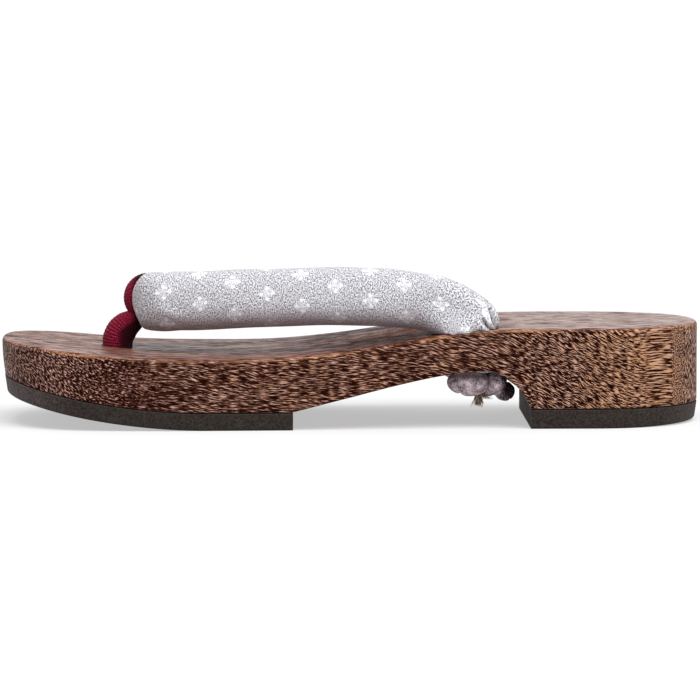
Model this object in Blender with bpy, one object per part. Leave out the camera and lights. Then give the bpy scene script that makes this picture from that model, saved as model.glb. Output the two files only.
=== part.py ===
"""A low wooden geta sandal, toe at -X, heel at +X, standing on the plane z = 0.

The base is one block of hardwood on two rubber pads. A padded V of cloth is its
upper: a knitted loop pinches the V's neck and goes down through the front hole,
and the V's two tails go down through the rear holes and are knotted in the arch.
"""

import math
from collections import namedtuple

import bmesh
import bpy
import numpy as np

MM = 0.001

# Base, seen from above
LENGTH = 240 * MM
FOREFOOT_WIDTH = 88 * MM
HEEL_WIDTH = 77 * MM
TOE_ROUND = 41 * MM          # length of the rounded toe end
HEEL_ROUND = 38 * MM         # length of the rounded heel end
TOE_FULLNESS = 2.5           # 2 is an ellipse, more is blunter
HEEL_FULLNESS = 2.1
SIDE_TAPER = 0.9 * MM        # how far the sides lean in at the toe's lower edge

# Base, seen from the side
HEEL_HEIGHT = 35 * MM        # floor to foot bed at the heel
ARCH_HEIGHT = 19.7 * MM      # floor to the highest point under the arch
FOREFOOT = 99.6 * MM         # toe tip to the start of the arch
HEEL = 59.3 * MM             # heel tip to the end of the arch
TOE_SPRING = 10.9 * MM       # lift of the tread at the toe tip
SPRING_CURVE = 1.8           # 1 is a straight ramp, more starts more gently
SPRING_LENGTH = 69 * MM      # length of the tread that lifts at the toe
HEEL_LIFT = 0.8 * MM         # lift of the tread at the heel tip
LIFT_LENGTH = 30 * MM
RIM_RADIUS = 1.5 * MM        # soft edge round the foot bed
BED_BORDER = 12 * MM         # border of faces round the foot bed's middle
LOWER_EDGE = 0.5 * MM        # small chamfer under the wood

# Rubber pads
FOREFOOT_PAD = 5.9 * MM
HEEL_PAD = 6.6 * MM
PAD_TAPER = 0.7 * MM         # how far a pad leans in below the wood
PAD_EDGE = 1.0 * MM          # worn edge round a pad's tread

# Holes
FRONT_HOLE = 39.7 * MM       # toe tip to the front hole's centre
REAR_HOLES = 75 * MM         # heel tip to the rear holes' centres
REAR_INSET = 10.2 * MM       # the base's side to a rear hole's centre
REAR_BORE = 8.6 * MM
POCKET_WIDTH = 21 * MM       # round pocket for the toe knot
POCKET_DEPTH = 9 * MM

# Padded strap
STRAP_TALL = 20.2 * MM
STRAP_THICK = 14.4 * MM
STRAP_RISE = 18 * MM         # foot bed to the middle of the strap
STRAP_FULLNESS = 2.4
REAR_FULLNESS = 2.9          # squarer where it turns down
LYING_FULLNESS = 5.0         # and flat underneath, where it lies on the foot bed
REAR_SPREAD = 1.7 * MM       # how far its outer side spreads there, towards the rim
REAR_SAG = 1.5 * MM          # and how far its lower corners sag on to the foot bed
NECK = 50.4 * MM             # toe tip to the pinched neck
NECK_RISE = 17.6 * MM        # foot bed to the middle of the neck
NECK_SWELL = 0.9             # depth of the neck where it leaves the loop, a share of its height
FOLD_BACK = 0.6 * MM         # the point each leg folds round, behind the loop's ring
FOLD_DOWN = 0.6 * MM         # and under the neck's middle
FOLD_ROUND = 0.75 * MM       # radius of the fold's inner side
TAIL_WIDTH = 7.6 * MM        # cloth tail that goes through a rear hole
REAR_BEND = 11.8 * MM        # from the rear hole forward to where the strap turns down
REAR_THICK = 17.4 * MM       # the strap spreads where it lands on the foot bed
RIGHT_SETTLE = 0.12          # how much lower the right leg has settled, a share of its height

# Toe loop
LOOP_WIDTH = 17.2 * MM         # outside, round the neck
LOOP_TUBE = 5.4 * MM
LOOP_JOINT = 250             # degrees from the heel side to where the post meets the loop
POST_WIDTH = 9.4 * MM

# Knots and cord ends
KNOT_LENGTH = 19 * MM
KNOT_WIDTH = 14 * MM
KNOT_DROP = 9 * MM
KNOT_AHEAD = 3.3 * MM        # tail knot's middle, ahead of its rear hole
HEMP_DROP = 4.2 * MM
HEMP_STRAND = 1.5 * MM

# Clearances
GAP = 0.3 * MM               # between two pieces that meet
SEAT = 0.45 * MM             # under cloth that lies on the curved foot bed
KNOT_PLAY = 1.5 * MM         # between the toe knot and its pocket's wall

# Colours as sRGB hex, and roughness
Finish = namedtuple("Finish", "colour roughness")
WOOD = Finish("5B3B2B", 0.42)
RUBBER = Finish("3B3838", 0.75)
STRAP_CLOTH = Finish("A9A8AD", 0.9)
TAIL_CLOTH = Finish("8E8B90", 0.9)
LOOP_KNIT = Finish("7E1F3A", 0.9)
KNOT_CORD = Finish("86745C", 0.9)
HEMP = Finish("7C6853", 0.95)

# Foot bed, a share of the length from the toe and a share of the heel height
Height = namedtuple("Height", "along height")
FOOT_BED = [
    Height(0.000, 0.840), Height(0.092, 0.774), Height(0.183, 0.714), Height(0.292, 0.696),
    Height(0.400, 0.709), Height(0.475, 0.758), Height(0.542, 0.823), Height(0.604, 0.897),
    Height(0.667, 0.955), Height(0.750, 0.976), Height(0.875, 0.977), Height(1.000, 0.983),
]

# Arch, a share of its own length and a share of its rise above the pads
Rise = namedtuple("Rise", "along rise")
ARCH = [
    Rise(0.000, 0.000), Rise(0.240, 0.356), Rise(0.448, 0.669), Rise(0.571, 0.833), Rise(0.682, 0.947),
    Rise(0.780, 1.000), Rise(0.855, 0.961), Rise(0.880, 0.875), Rise(0.905, 0.752), Rise(0.943, 0.570),
    Rise(0.977, 0.305), Rise(1.000, 0.000),
]

# Side of the base, shares of the way down it and of its lean
Side = namedtuple("Side", "down lean")
SIDE = [Side(0.4, 0.2)]

# Worn edge of a pad, shares of the edge: in from the side and up from the tread
Worn = namedtuple("Worn", "inwards up")
WORN_EDGE = [Worn(0.0, 1.0), Worn(0.3, 0.3), Worn(1.0, 0.0)]

# Front of a strap leg, turning from across the foot to along it. Tall and thick are
# shares of the strap's own, lean tips its upper edge towards the foot, and full is the
# section's fullness, blunter at the very front.
Bend = namedtuple("Bend", "turn tall thick lean full")
FRONT_BEND = [
    Bend(22, 0.93, 0.85, 0, 3.1), Bend(45, 0.99, 0.92, 2, 2.9), Bend(66, 1.00, 0.98, 4, 2.6),
]

# Leg of the strap. Along is a share of the way from neck to rear hole, across of the
# rear hole's distance from the middle, and rise of the strap's height over the foot bed.
Leg = namedtuple("Leg", "along across rise tall thick lean")
LEG = [
    Leg(0.122, 0.452, 0.975, 1.00, 1.00, 7), Leg(0.254, 0.560, 1.030, 1.00, 1.00, 10),
    Leg(0.429, 0.700, 1.045, 0.98, 1.00, 12), Leg(0.605, 0.825, 0.945, 0.98, 1.00, 12),
    Leg(0.732, 0.905, 0.795, 0.98, 1.00, 9), Leg(0.816, 0.955, 0.645, 0.96, 1.05, 5),
]

# Back of a leg, turning down on to the foot bed
Drop = namedtuple("Drop", "pitch tall thick")
REAR_BEND_ROWS = [
    Drop(0, 0.86, 0.93), Drop(20, 0.79, 0.97), Drop(40, 0.76, 1.00), Drop(60, 0.80, 1.00),
    Drop(76, 0.83, 0.98), Drop(87, 0.84, 0.92),
]

# Toe post from its hole to the loop. Ahead and up are shares of the way, wide and deep
# of the post's width, and tip is the slope of its section.
Post = namedtuple("Post", "ahead up wide deep tip")
POST = [
    Post(0.00, 0.00, 1.00, 1.00, 0), Post(0.03, 0.26, 1.05, 1.00, 12), Post(0.17, 0.48, 1.08, 0.94, 32),
    Post(0.40, 0.68, 1.00, 0.84, 48), Post(0.72, 0.83, 0.79, 0.66, 58), Post(1.00, 1.00, 0.62, 0.54, 50),
]

# Lobes of a knot, as shares of its length, width and drop
Lobe = namedtuple("Lobe", "along across down long wide deep turn")
TAIL_LOBES = [
    Lobe(-0.20, 0.00, 0.52, 0.62, 0.96, 0.94, 0), Lobe(0.27, 0.02, 0.52, 0.46, 0.86, 0.92, -12),
    Lobe(0.06, -0.06, 0.44, 0.40, 1.00, 0.84, 18),
]
TOE_LOBES = [
    Lobe(0.00, 0.00, 0.50, 1.00, 0.62, 0.90, 0), Lobe(0.00, 0.00, 0.52, 0.62, 1.00, 0.96, 0),
]

# Strands of a hemp end: where each starts and ends, as shares of the drop
Strand = namedtuple("Strand", "start end across drop")
STRANDS = [
    Strand(-0.22, -0.42, -0.10, 0.80), Strand(-0.09, -0.12, 0.12, 1.00), Strand(0.05, 0.06, -0.14, 0.96),
    Strand(0.15, 0.38, 0.10, 1.00), Strand(0.22, 1.20, 0.00, 0.62),
]

# A strand's thickness along its length, and its root's three half sizes, shares of the strand's width
Taper = namedtuple("Taper", "along thick")
STRAND_TAPER = [Taper(0.0, 1.0), Taper(0.6, 0.9), Taper(1.0, 0.45)]
HEMP_ROOT = (1.1, 0.9, 0.5)

# Mesh fineness
END_STEPS = 10               # along each rounded end of the base
EVEN_STEPS = 15              # between the two ends
CROWDED = 3 * MM             # a station nearer than this to a row of the arch is left out
RIM_ANGLES = (35, 65, 90)    # degrees round the soft edge
NECK_ANGLES = (0, 35, 62)    # degrees round the loop's tube, from the neck's middle outwards
RING_STEPS = 20
TUBE_STEPS = 14
POST_STEPS = 18
STRAND_STEPS = 8
HOLE_STEPS = 28

FRONT_X = FRONT_HOLE - LENGTH / 2
REAR_X = LENGTH / 2 - REAR_HOLES
NECK_X = NECK - LENGTH / 2
ARCH_START_X = FOREFOOT - LENGTH / 2
ARCH_END_X = LENGTH / 2 - HEEL
TUBE_RADIUS = LOOP_TUBE / 2
LOOP_RADIUS = LOOP_WIDTH / 2 - TUBE_RADIUS
UP = np.array([0.0, 0.0, 1.0])


def smooth(table, at):
    """A curve through a table's rows: cubic pieces, each row's slope taken from its neighbours."""
    rows = np.array(table, dtype=float)
    slope = np.gradient(rows[:, 1], rows[:, 0])
    i = np.clip(np.searchsorted(rows[:, 0], at, side="right") - 1, 0, len(rows) - 2)
    step = rows[i + 1, 0] - rows[i, 0]
    t = np.clip((at - rows[i, 0]) / step, 0, 1)
    rise = rows[i + 1, 1] - rows[i, 1]
    bulge = (1 - t) * (slope[i] * step - rise) - t * (slope[i + 1] * step - rise)
    return rows[i, 1] + t * rise + t * (1 - t) * bulge


def half_width(x):
    """Half the base's width: an eased taper, closed by a rounded toe and a rounded heel."""
    first = TOE_ROUND - LENGTH / 2
    last = LENGTH / 2 - HEEL_ROUND
    along = np.clip((x - first) / (last - first), 0, 1)
    ease = 0.5 - 0.5 * np.cos(math.pi * along)
    width = FOREFOOT_WIDTH + (HEEL_WIDTH - FOREFOOT_WIDTH) * ease
    toe = np.clip((first - x) / TOE_ROUND, 0, 1)
    heel = np.clip((x - last) / HEEL_ROUND, 0, 1)
    toe_close = (1 - toe ** TOE_FULLNESS) ** (1 / TOE_FULLNESS)
    heel_close = (1 - heel ** HEEL_FULLNESS) ** (1 / HEEL_FULLNESS)
    return width / 2 * toe_close * heel_close


def rear_side():
    """Distance of the rear holes from the middle line."""
    return half_width(REAR_X) - REAR_INSET


def foot_bed(x):
    """Height of the foot bed over the floor."""
    return HEEL_HEIGHT * smooth(FOOT_BED, np.clip(x / LENGTH + 0.5, 0, 1))


def toe_lift(x):
    """Height of the toe spring's curve over the floor."""
    toe = np.clip((SPRING_LENGTH - LENGTH / 2 - x) / SPRING_LENGTH, 0, 1)
    return TOE_SPRING * toe ** SPRING_CURVE


def tread(x):
    """Height of the tread over the floor: the toe spring, flat, and a small worn lift at the heel tip."""
    heel = np.clip((x - LENGTH / 2 + LIFT_LENGTH) / LIFT_LENGTH, 0, 1)
    return toe_lift(x) + HEEL_LIFT * heel ** 2


def wood_under(x):
    """Height of the wood's underside: over the pads it follows the toe spring, between them the arch."""
    along = np.clip((x - ARCH_START_X) / (ARCH_END_X - ARCH_START_X), 0, 1)
    pads = FOREFOOT_PAD + (HEEL_PAD - FOREFOOT_PAD) * along + GAP
    arch = (ARCH_HEIGHT - pads) * smooth(ARCH, along)
    return toe_lift(x) + pads + arch


def side_inset(x):
    """How far the side's lower edge stands in from the rim, most at the toe and none at the heel."""
    return SIDE_TAPER * (0.5 - x / LENGTH)


def stations(start, end):
    """Places along the base, closer together round its ends and in the heel's steep front."""
    quarter = np.linspace(0, math.pi / 2, END_STEPS + 1)
    toe = -LENGTH / 2 + TOE_ROUND * (1 - np.cos(quarter))
    heel = LENGTH / 2 - HEEL_ROUND * (1 - np.cos(quarter[::-1]))
    steep = ARCH_START_X + (ARCH_END_X - ARCH_START_X) * np.array([row.along for row in ARCH])
    even = [x for x in np.linspace(toe[-1], heel[0], EVEN_STEPS) if np.min(np.abs(steep - x)) > CROWDED]
    every = np.unique(np.concatenate([toe, heel, steep, even, [start, end]]).round(7))
    return every[(every >= start - 1e-7) & (every <= end + 1e-7)]


def normals(x):
    """Outward direction of the outline at each station, straight out at the two tips."""
    y = half_width(x)
    ahead = np.array([np.gradient(x), np.gradient(y)])
    if y[0] < MM:
        ahead[:, 0] = (0, 1)
    if y[-1] < MM:
        ahead[:, -1] = (0, -1)
    ahead /= np.hypot(*ahead)
    return np.array([-ahead[1], ahead[0]])


def half_section(x, rows):
    """One side of every section, rows of (inset from the rim, height) from top to underside."""
    out = normals(x)
    side = np.zeros((len(x), len(rows), 3))
    for i, (inset, height) in enumerate(rows):
        side[:, i, 0] = x - out[0] * inset
        side[:, i, 1] = half_width(x) - out[1] * inset
        side[:, i, 2] = height
    return side


def slab(name, x, rows, look, flat_ends=()):
    """A piece of the base's outline: half sections mirrored, joined station to station, ends closed."""
    side = half_section(x, rows)
    for end in flat_ends:
        side[end, :, 0] = x[end]
    middle_top = side[:, :1] * (1, 0, 1)
    middle_under = side[:, -1:] * (1, 0, 1)
    other = side[:, ::-1] * (1, -1, 1)
    rings = np.concatenate([middle_top, side, middle_under, other], axis=1)
    return loft(name, rings, look)


def loft(name, rings, look, sharp=40):
    """A closed body through rings of points, its first and last ring filled."""
    count, size = rings.shape[:2]
    faces = [
        [i * size + j, i * size + (j + 1) % size, (i + 1) * size + (j + 1) % size, (i + 1) * size + j]
        for i in range(count - 1) for j in range(size)
    ]
    faces += [list(range(size)), list(range((count - 1) * size, count * size))[::-1]]
    return solid(name, rings.reshape(-1, 3), faces, look, sharp)


def solid(name, points, faces, look, sharp=40):
    """An object from points and faces: doubles merged, faces outwards, smooth but for sharp edges."""
    body = bmesh.new()
    corners = [body.verts.new(point) for point in points]
    for face in faces:
        body.faces.new([corners[i] for i in face])
    bmesh.ops.remove_doubles(body, verts=body.verts, dist=1e-6)
    bmesh.ops.dissolve_degenerate(body, edges=body.edges, dist=1e-7)
    bmesh.ops.recalc_face_normals(body, faces=body.faces)
    bmesh.ops.triangulate(body, faces=[face for face in body.faces if len(face.verts) > 3])
    mesh = bpy.data.meshes.new(name)
    body.to_mesh(mesh)
    body.free()
    mesh.shade_smooth()
    mesh.set_sharp_from_angle(angle=math.radians(sharp))
    mesh.materials.append(finish(name, look))
    thing = bpy.data.objects.new(name, mesh)
    bpy.context.scene.collection.objects.link(thing)
    return thing


def finish(name, look):
    """A plain material with the piece's colour and roughness."""
    material = bpy.data.materials.new(name + "_finish")
    material.use_nodes = True
    shader = material.node_tree.nodes["Principled BSDF"]
    parts = [int(look.colour[i:i + 2], 16) / 255 for i in (0, 2, 4)]
    linear = [c / 12.92 if c < 0.04045 else ((c + 0.055) / 1.055) ** 2.4 for c in parts]
    shader.inputs["Base Color"].default_value = (*linear, 1)
    shader.inputs["Roughness"].default_value = look.roughness
    shader.inputs["Metallic"].default_value = 0
    return material


def join(thing, other, how):
    """Cut the other object out of the first, or fuse it on, and hide the other."""
    change = thing.modifiers.new(how.lower() + "_" + other.name, "BOOLEAN")
    change.operation = how
    change.solver = "EXACT"
    change.object = other
    other.hide_render = True
    other.display_type = "WIRE"


def drill(thing, name, centre, width, low, high):
    """Cut a round upright hole."""
    mesh = bpy.data.meshes.new(name)
    body = bmesh.new()
    radius = width / 2
    bmesh.ops.create_cone(
        body, cap_ends=True, segments=HOLE_STEPS, radius1=radius, radius2=radius, depth=high - low)
    body.to_mesh(mesh)
    body.free()
    cutter = bpy.data.objects.new(name, mesh)
    cutter.location = (*centre, (low + high) / 2)
    bpy.context.scene.collection.objects.link(cutter)
    join(thing, cutter, "DIFFERENCE")


def ring(centre, tall_way, thick_way, tall, thick, fullness=2.0, steps=RING_STEPS):
    """A closed ring: a rounded oval, an ellipse whose cosine and sine are flattened by its fullness."""
    angle = np.linspace(0, 2 * math.pi, steps, endpoint=False)[:, None]
    up = np.sign(np.cos(angle)) * np.abs(np.cos(angle)) ** (2 / fullness)
    out = np.sign(np.sin(angle)) * np.abs(np.sin(angle)) ** (2 / fullness)
    return np.asarray(centre) + up * tall * np.asarray(tall_way) + out * thick * np.asarray(thick_way)


def wooden_base():
    """The wooden block with its foot bed, arch, heel, front hole and pocket, and rear holes."""
    x = stations(-LENGTH / 2, LENGTH / 2)
    bed = foot_bed(x)
    under = wood_under(x)
    lean = side_inset(x)
    rows = [(BED_BORDER, bed), (RIM_RADIUS, bed)]
    for angle in np.radians(RIM_ANGLES):
        rows.append((RIM_RADIUS * (1 - math.sin(angle)), bed - RIM_RADIUS * (1 - math.cos(angle))))
    rows += [(lean * row.lean, bed + (under - bed) * row.down) for row in SIDE]
    rows += [(lean, under + LOWER_EDGE), (lean + LOWER_EDGE, under)]
    base = slab("wooden_base", x, rows, WOOD)
    pocket_top = wood_under(FRONT_X) + POCKET_DEPTH
    drill(base, "front_hole", (FRONT_X, 0), POST_WIDTH + 2 * GAP, 0, LENGTH / 2)
    drill(base, "knot_pocket", (FRONT_X, 0), POCKET_WIDTH, 0, pocket_top)
    for side, name in ((-1, "left"), (1, "right")):
        drill(base, name + "_rear_hole", (REAR_X, side * rear_side()), REAR_BORE, 0, LENGTH / 2)


def pad_rows(x):
    """Section rows of a pad: flush with the wood above, leaning in, with a worn tread edge."""
    lean = side_inset(x)
    low = tread(x)
    high = wood_under(x) - GAP
    rows = [(lean + GAP, high), (lean, high - GAP)]
    rows += [(lean + PAD_TAPER + row.inwards * PAD_EDGE, low + row.up * PAD_EDGE) for row in WORN_EDGE]
    return rows


def forefoot_rubber():
    """The forefoot pad, with a round opening under the knot pocket."""
    x = stations(-LENGTH / 2, ARCH_START_X)
    pad = slab("forefoot_rubber", x, pad_rows(x), RUBBER, [-1])
    drill(pad, "pad_opening", (FRONT_X, 0), POCKET_WIDTH, -TOE_SPRING, LENGTH / 2)


def heel_rubber():
    """The heel pad."""
    x = stations(ARCH_END_X, LENGTH / 2)
    slab("heel_rubber", x, pad_rows(x), RUBBER, [0])


def strap_neck():
    """Rings of the neck from the middle outwards: as thick as the loop's inside leaves room for."""
    rings = []
    for angle in np.radians(NECK_ANGLES):
        across = TUBE_RADIUS * math.sin(angle)
        room = LOOP_RADIUS - TUBE_RADIUS * math.cos(angle) - GAP
        centre = (NECK_X, across, neck_height())
        rings.append(ring(centre, UP, (-1, 0, 0), room, room))
    centre = (NECK_X, TUBE_RADIUS + GAP, neck_height())
    rings.append(ring(centre, UP, (-1, 0, 0), LOOP_RADIUS, LOOP_RADIUS * NECK_SWELL))
    return rings


def neck_height():
    """Height of the neck's middle over the floor."""
    return foot_bed(NECK_X) + NECK_RISE


def oval(centre, out, tall, thick, lean, full=STRAP_FULLNESS):
    """A ring of the strap: out points away from the foot, lean tips its top towards the foot."""
    lean = math.radians(lean)
    out = np.asarray(out)
    tall_way = UP * math.cos(lean) - out * math.sin(lean)
    thick_way = out * math.cos(lean) + UP * math.sin(lean)
    return ring(centre, tall_way, thick_way, tall * STRAP_TALL / 2, thick * STRAP_THICK / 2, full)


def strap_front():
    """Rings that turn from across the foot to along it, round a point just behind the loop."""
    rings = []
    pivot = np.array([NECK_X + LOOP_RADIUS + FOLD_BACK, TUBE_RADIUS + 2 * GAP, neck_height() - FOLD_DOWN])
    for row in FRONT_BEND:
        out = np.array([-math.cos(math.radians(row.turn)), math.sin(math.radians(row.turn)), 0])
        centre = pivot + out * (row.thick * STRAP_THICK / 2 + FOLD_ROUND)
        rings.append(oval(centre, out, row.tall, row.thick, row.lean, row.full))
    return rings


def strap_leg():
    """Rings along the leg, each square to its route seen from above."""
    x = np.array([NECK_X + row.along * (REAR_X - NECK_X) for row in LEG])
    y = np.array([row.across * rear_side() for row in LEG])
    z = foot_bed(x) + STRAP_RISE * np.array([row.rise for row in LEG])
    turn = np.arctan2(np.gradient(y), np.gradient(x))
    rings = []
    for i, row in enumerate(LEG):
        out = (-math.sin(turn[i]), math.cos(turn[i]), 0)
        rings.append(oval((x[i], y[i], z[i]), out, row.tall, row.thick, row.lean))
    return rings


def strap_rear():
    """Rings that turn down about a point on the foot bed, then the tail through the rear hole."""
    rings = []
    side = rear_side()
    turn_x = REAR_X - REAR_BEND
    floor = foot_bed(turn_x) + SEAT
    upper = np.cos(np.linspace(0, 2 * math.pi, RING_STEPS, endpoint=False)) > 0
    fullness = np.where(upper, REAR_FULLNESS, LYING_FULLNESS)[:, None]
    for row in REAR_BEND_ROWS:
        pitch = math.radians(row.pitch)
        way = np.array([math.sin(pitch), 0, math.cos(pitch)])
        tall = row.tall * STRAP_TALL / 2
        centre = np.array([turn_x, side, floor]) + way * (tall + GAP)
        points = ring(centre, way, (0, 1, 0), tall, row.thick * REAR_THICK / 2, fullness)
        low = np.clip((centre[2] - points[:, 2]) / tall, 0, 1)
        points[:, 1] += np.where(points[:, 1] > side, REAR_SPREAD * low, 0)
        points[:, 2] -= REAR_SAG * low
        points[:, 2] = np.maximum(points[:, 2], foot_bed(points[:, 0]) + SEAT)
        rings.append(points)
    for height in (foot_bed(REAR_X) + SEAT, wood_under(REAR_X)):
        rings.append(ring((REAR_X, side, height), (1, 0, 0), (0, 1, 0), TAIL_WIDTH / 2, TAIL_WIDTH / 2))
    return rings


def settled(rings, amount):
    """Rings whose heights over the foot bed shrink by the given shares, one for each ring."""
    lower = rings.copy()
    bed = foot_bed(rings[:, :, 0]) + SEAT
    lower[:, :, 2] = bed + (rings[:, :, 2] - bed) * (1 - amount[:, None])
    return lower


def padded_strap():
    """The stuffed V: the left leg and a slightly lower right one, joined at the neck."""
    neck, front, leg, rear = strap_neck(), strap_front(), strap_leg(), strap_rear()
    rings = np.array(neck + front + leg + rear)
    amount = np.full(len(rings), RIGHT_SETTLE)
    amount[:len(neck)] = 0
    amount[len(neck):len(neck) + len(front)] *= np.linspace(0, 1, len(front) + 2)[1:-1]
    amount[-2:] = 0
    left = rings[:0:-1] * (1, -1, 1)
    loft("padded_strap", np.concatenate([left, settled(rings, amount)]), STRAP_CLOTH, 60)


def toe_loop():
    """The knitted loop round the neck, a ring of tube, fused to the post that leans back over its hole."""
    centre = np.array([NECK_X, 0, neck_height()])
    around = np.linspace(0, 2 * math.pi, 2 * TUBE_STEPS, endpoint=False)
    tube = []
    for angle in around:
        way = np.array([math.cos(angle), 0, math.sin(angle)])
        tube.append(ring(centre + way * LOOP_RADIUS, way, (0, 1, 0), TUBE_RADIUS, TUBE_RADIUS, 2, TUBE_STEPS))
    count = len(tube)
    faces = [
        [i * TUBE_STEPS + j, i * TUBE_STEPS + (j + 1) % TUBE_STEPS,
         (i + 1) % count * TUBE_STEPS + (j + 1) % TUBE_STEPS, (i + 1) % count * TUBE_STEPS + j]
        for i in range(count) for j in range(TUBE_STEPS)
    ]
    loop = solid("toe_loop", np.concatenate(tube), faces, LOOP_KNIT)

    low = wood_under(FRONT_X) + POCKET_DEPTH
    foot = np.array([FRONT_X, 0, foot_bed(FRONT_X)])
    turn = math.radians(LOOP_JOINT)
    joint = centre + LOOP_RADIUS * np.array([math.cos(turn), 0, math.sin(turn)])
    rings = [ring((FRONT_X, 0, low), (1, 0, 0), (0, 1, 0), POST_WIDTH / 2, POST_WIDTH / 2, 2, POST_STEPS)]
    for row in POST:
        place = foot + (joint - foot) * (row.ahead, 0, row.up)
        way = (math.cos(math.radians(row.tip)), 0, -math.sin(math.radians(row.tip)))
        size = np.array([row.wide, row.deep]) * POST_WIDTH / 2
        rings.append(ring(place, way, (0, 1, 0), *size, 2, POST_STEPS))
    post = loft("toe_post", np.array(rings), LOOP_KNIT)
    join(loop, post, "UNION")


def ellipsoid(name, centre, half, turn, look):
    """A round lobe, turned about the upright axis."""
    body = bmesh.new()
    bmesh.ops.create_uvsphere(body, u_segments=16, v_segments=10, radius=1)
    points = np.array([corner.co for corner in body.verts]) * half
    faces = [[corner.index for corner in face.verts] for face in body.faces]
    body.free()
    c, s = math.cos(math.radians(turn)), math.sin(math.radians(turn))
    points = points @ np.array([[c, s, 0], [-s, c, 0], [0, 0, 1]]) + centre
    return solid(name, points, faces, look)


def knot(name, middle, ceiling, lobes, size, side, look):
    """A knot of cloth or cord: round lobes fused together, each hung under the ceiling over it."""
    whole = None
    for number, lobe in enumerate(lobes):
        x = middle[0] + lobe.along * size[0]
        y = middle[1] + side * lobe.across * size[1]
        centre = np.array([x, y, ceiling(x) - GAP - lobe.down * size[2]])
        half = np.array([lobe.long, lobe.wide, lobe.deep]) * size / 2
        label = name if whole is None else name + "_lobe_" + str(number)
        part = ellipsoid(label, centre, half, side * lobe.turn, look)
        if whole is None:
            whole = part
        else:
            join(whole, part, "UNION")


def tail_middle(side):
    """Middle of a tail knot, seen from above."""
    return (REAR_X - KNOT_AHEAD, side * rear_side())


def tail_knots():
    """The knotted cloth tails in the arch, one under each rear hole."""
    size = np.array([KNOT_LENGTH, KNOT_WIDTH, KNOT_DROP])
    for side, name in ((-1, "left"), (1, "right")):
        knot(name + "_tail_knot", tail_middle(side), wood_under, TAIL_LOBES, size, side, TAIL_CLOTH)


def toe_knot():
    """The knot of the toe loop's cord, in its pocket and clear of the floor."""
    width = POCKET_WIDTH - 2 * KNOT_PLAY
    size = np.array([width, width, POCKET_DEPTH - 2 * GAP])
    roof = wood_under(FRONT_X) + POCKET_DEPTH
    knot("toe_knot", (FRONT_X, 0), lambda x: roof, TOE_LOBES, size, 1, KNOT_CORD)


def hemp_ends():
    """The frayed core cord under each tail knot: a flat root with strands fused on."""
    for side, name in ((-1, "left"), (1, "right")):
        half = np.array(HEMP_ROOT) * HEMP_STRAND
        between = TAIL_LOBES[-1]
        x = tail_middle(side)[0] + between.along * KNOT_LENGTH
        depth = (between.down + between.deep / 2) * KNOT_DROP + 3 * GAP + half[2]
        root_centre = np.array([x, tail_middle(side)[1], wood_under(x) - depth])
        root = ellipsoid(name + "_hemp_end", root_centre, half, 0, HEMP)
        for number, row in enumerate(STRANDS):
            start = root_centre + np.array([row.start * HEMP_DROP, 0, 0])
            end = start + np.array([(row.end - row.start), side * row.across, -row.drop]) * HEMP_DROP
            way = (end - start) / np.linalg.norm(end - start)
            flat = np.cross(way, (0, 1, 0))
            flat /= np.linalg.norm(flat)
            rings = []
            for taper in STRAND_TAPER:
                radius = taper.thick * HEMP_STRAND / 2
                place = start + (end - start) * taper.along
                rings.append(ring(place, flat, np.cross(flat, way), radius, radius, 2, STRAND_STEPS))
            strand = loft(name + "_strand_" + str(number), np.array(rings), HEMP)
            join(root, strand, "UNION")


def main():
    for thing in list(bpy.data.objects):
        bpy.data.objects.remove(thing, do_unlink=True)
    wooden_base()
    forefoot_rubber()
    heel_rubber()
    padded_strap()
    toe_loop()
    toe_knot()
    tail_knots()
    hemp_ends()


if __name__ == "__main__":
    main()
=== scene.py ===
"""Looks of a low wooden geta sandal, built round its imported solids.

The toe is at -X, the heel at +X, and the near (left) side at -Y. Shapes are surfaces
worked out on grids; each size is in metres and each pattern's scale in millimetres.
"""

import math

import bmesh
import bpy
import numpy as np
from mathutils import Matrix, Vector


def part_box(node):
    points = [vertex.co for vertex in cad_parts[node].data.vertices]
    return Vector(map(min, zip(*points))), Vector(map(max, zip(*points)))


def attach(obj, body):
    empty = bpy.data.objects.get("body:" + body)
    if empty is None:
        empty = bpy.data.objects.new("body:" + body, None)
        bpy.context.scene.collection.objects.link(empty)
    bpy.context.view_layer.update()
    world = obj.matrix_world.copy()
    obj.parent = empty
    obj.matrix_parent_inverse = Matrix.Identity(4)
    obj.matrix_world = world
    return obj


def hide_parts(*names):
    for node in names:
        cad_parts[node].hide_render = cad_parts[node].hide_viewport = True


bl_info = {
    "name": "Geta Sandal",
    "version": (1, 0, 0),
    "blender": (4, 5, 0),
    "location": "View3D > Sidebar > Geta",
    "description": "Fine surfaces and finishes of a low wooden sandal with a padded strap",
    "category": "Object",
}

MM = 0.001
UP = np.array([0.0, 0.0, 1.0])

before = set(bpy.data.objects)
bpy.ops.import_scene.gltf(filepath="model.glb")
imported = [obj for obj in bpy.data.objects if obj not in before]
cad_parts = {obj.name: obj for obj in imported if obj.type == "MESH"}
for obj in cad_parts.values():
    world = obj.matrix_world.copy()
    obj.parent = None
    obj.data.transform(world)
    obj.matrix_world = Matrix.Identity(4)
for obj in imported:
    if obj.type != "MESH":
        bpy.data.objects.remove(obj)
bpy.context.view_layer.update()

# Base. Its length, width and height come from the frame.
BASE_LOW, BASE_HIGH = (np.array(corner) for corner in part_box("wooden_base"))
LENGTH = BASE_HIGH[0] - BASE_LOW[0]
FOREFOOT_WIDTH = BASE_HIGH[1] - BASE_LOW[1]
HEEL_WIDTH = 77 * MM
TOE_ROUND = 41 * MM
HEEL_ROUND = 38 * MM
TOE_FULLNESS = 2.5
HEEL_FULLNESS = 2.1
SIDE_TAPER = 0.9 * MM
HEEL_HEIGHT = 35 * MM
ARCH_HEIGHT = 19.7 * MM
ARCH_START_X = float(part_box("forefoot_rubber")[1][0])
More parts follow.
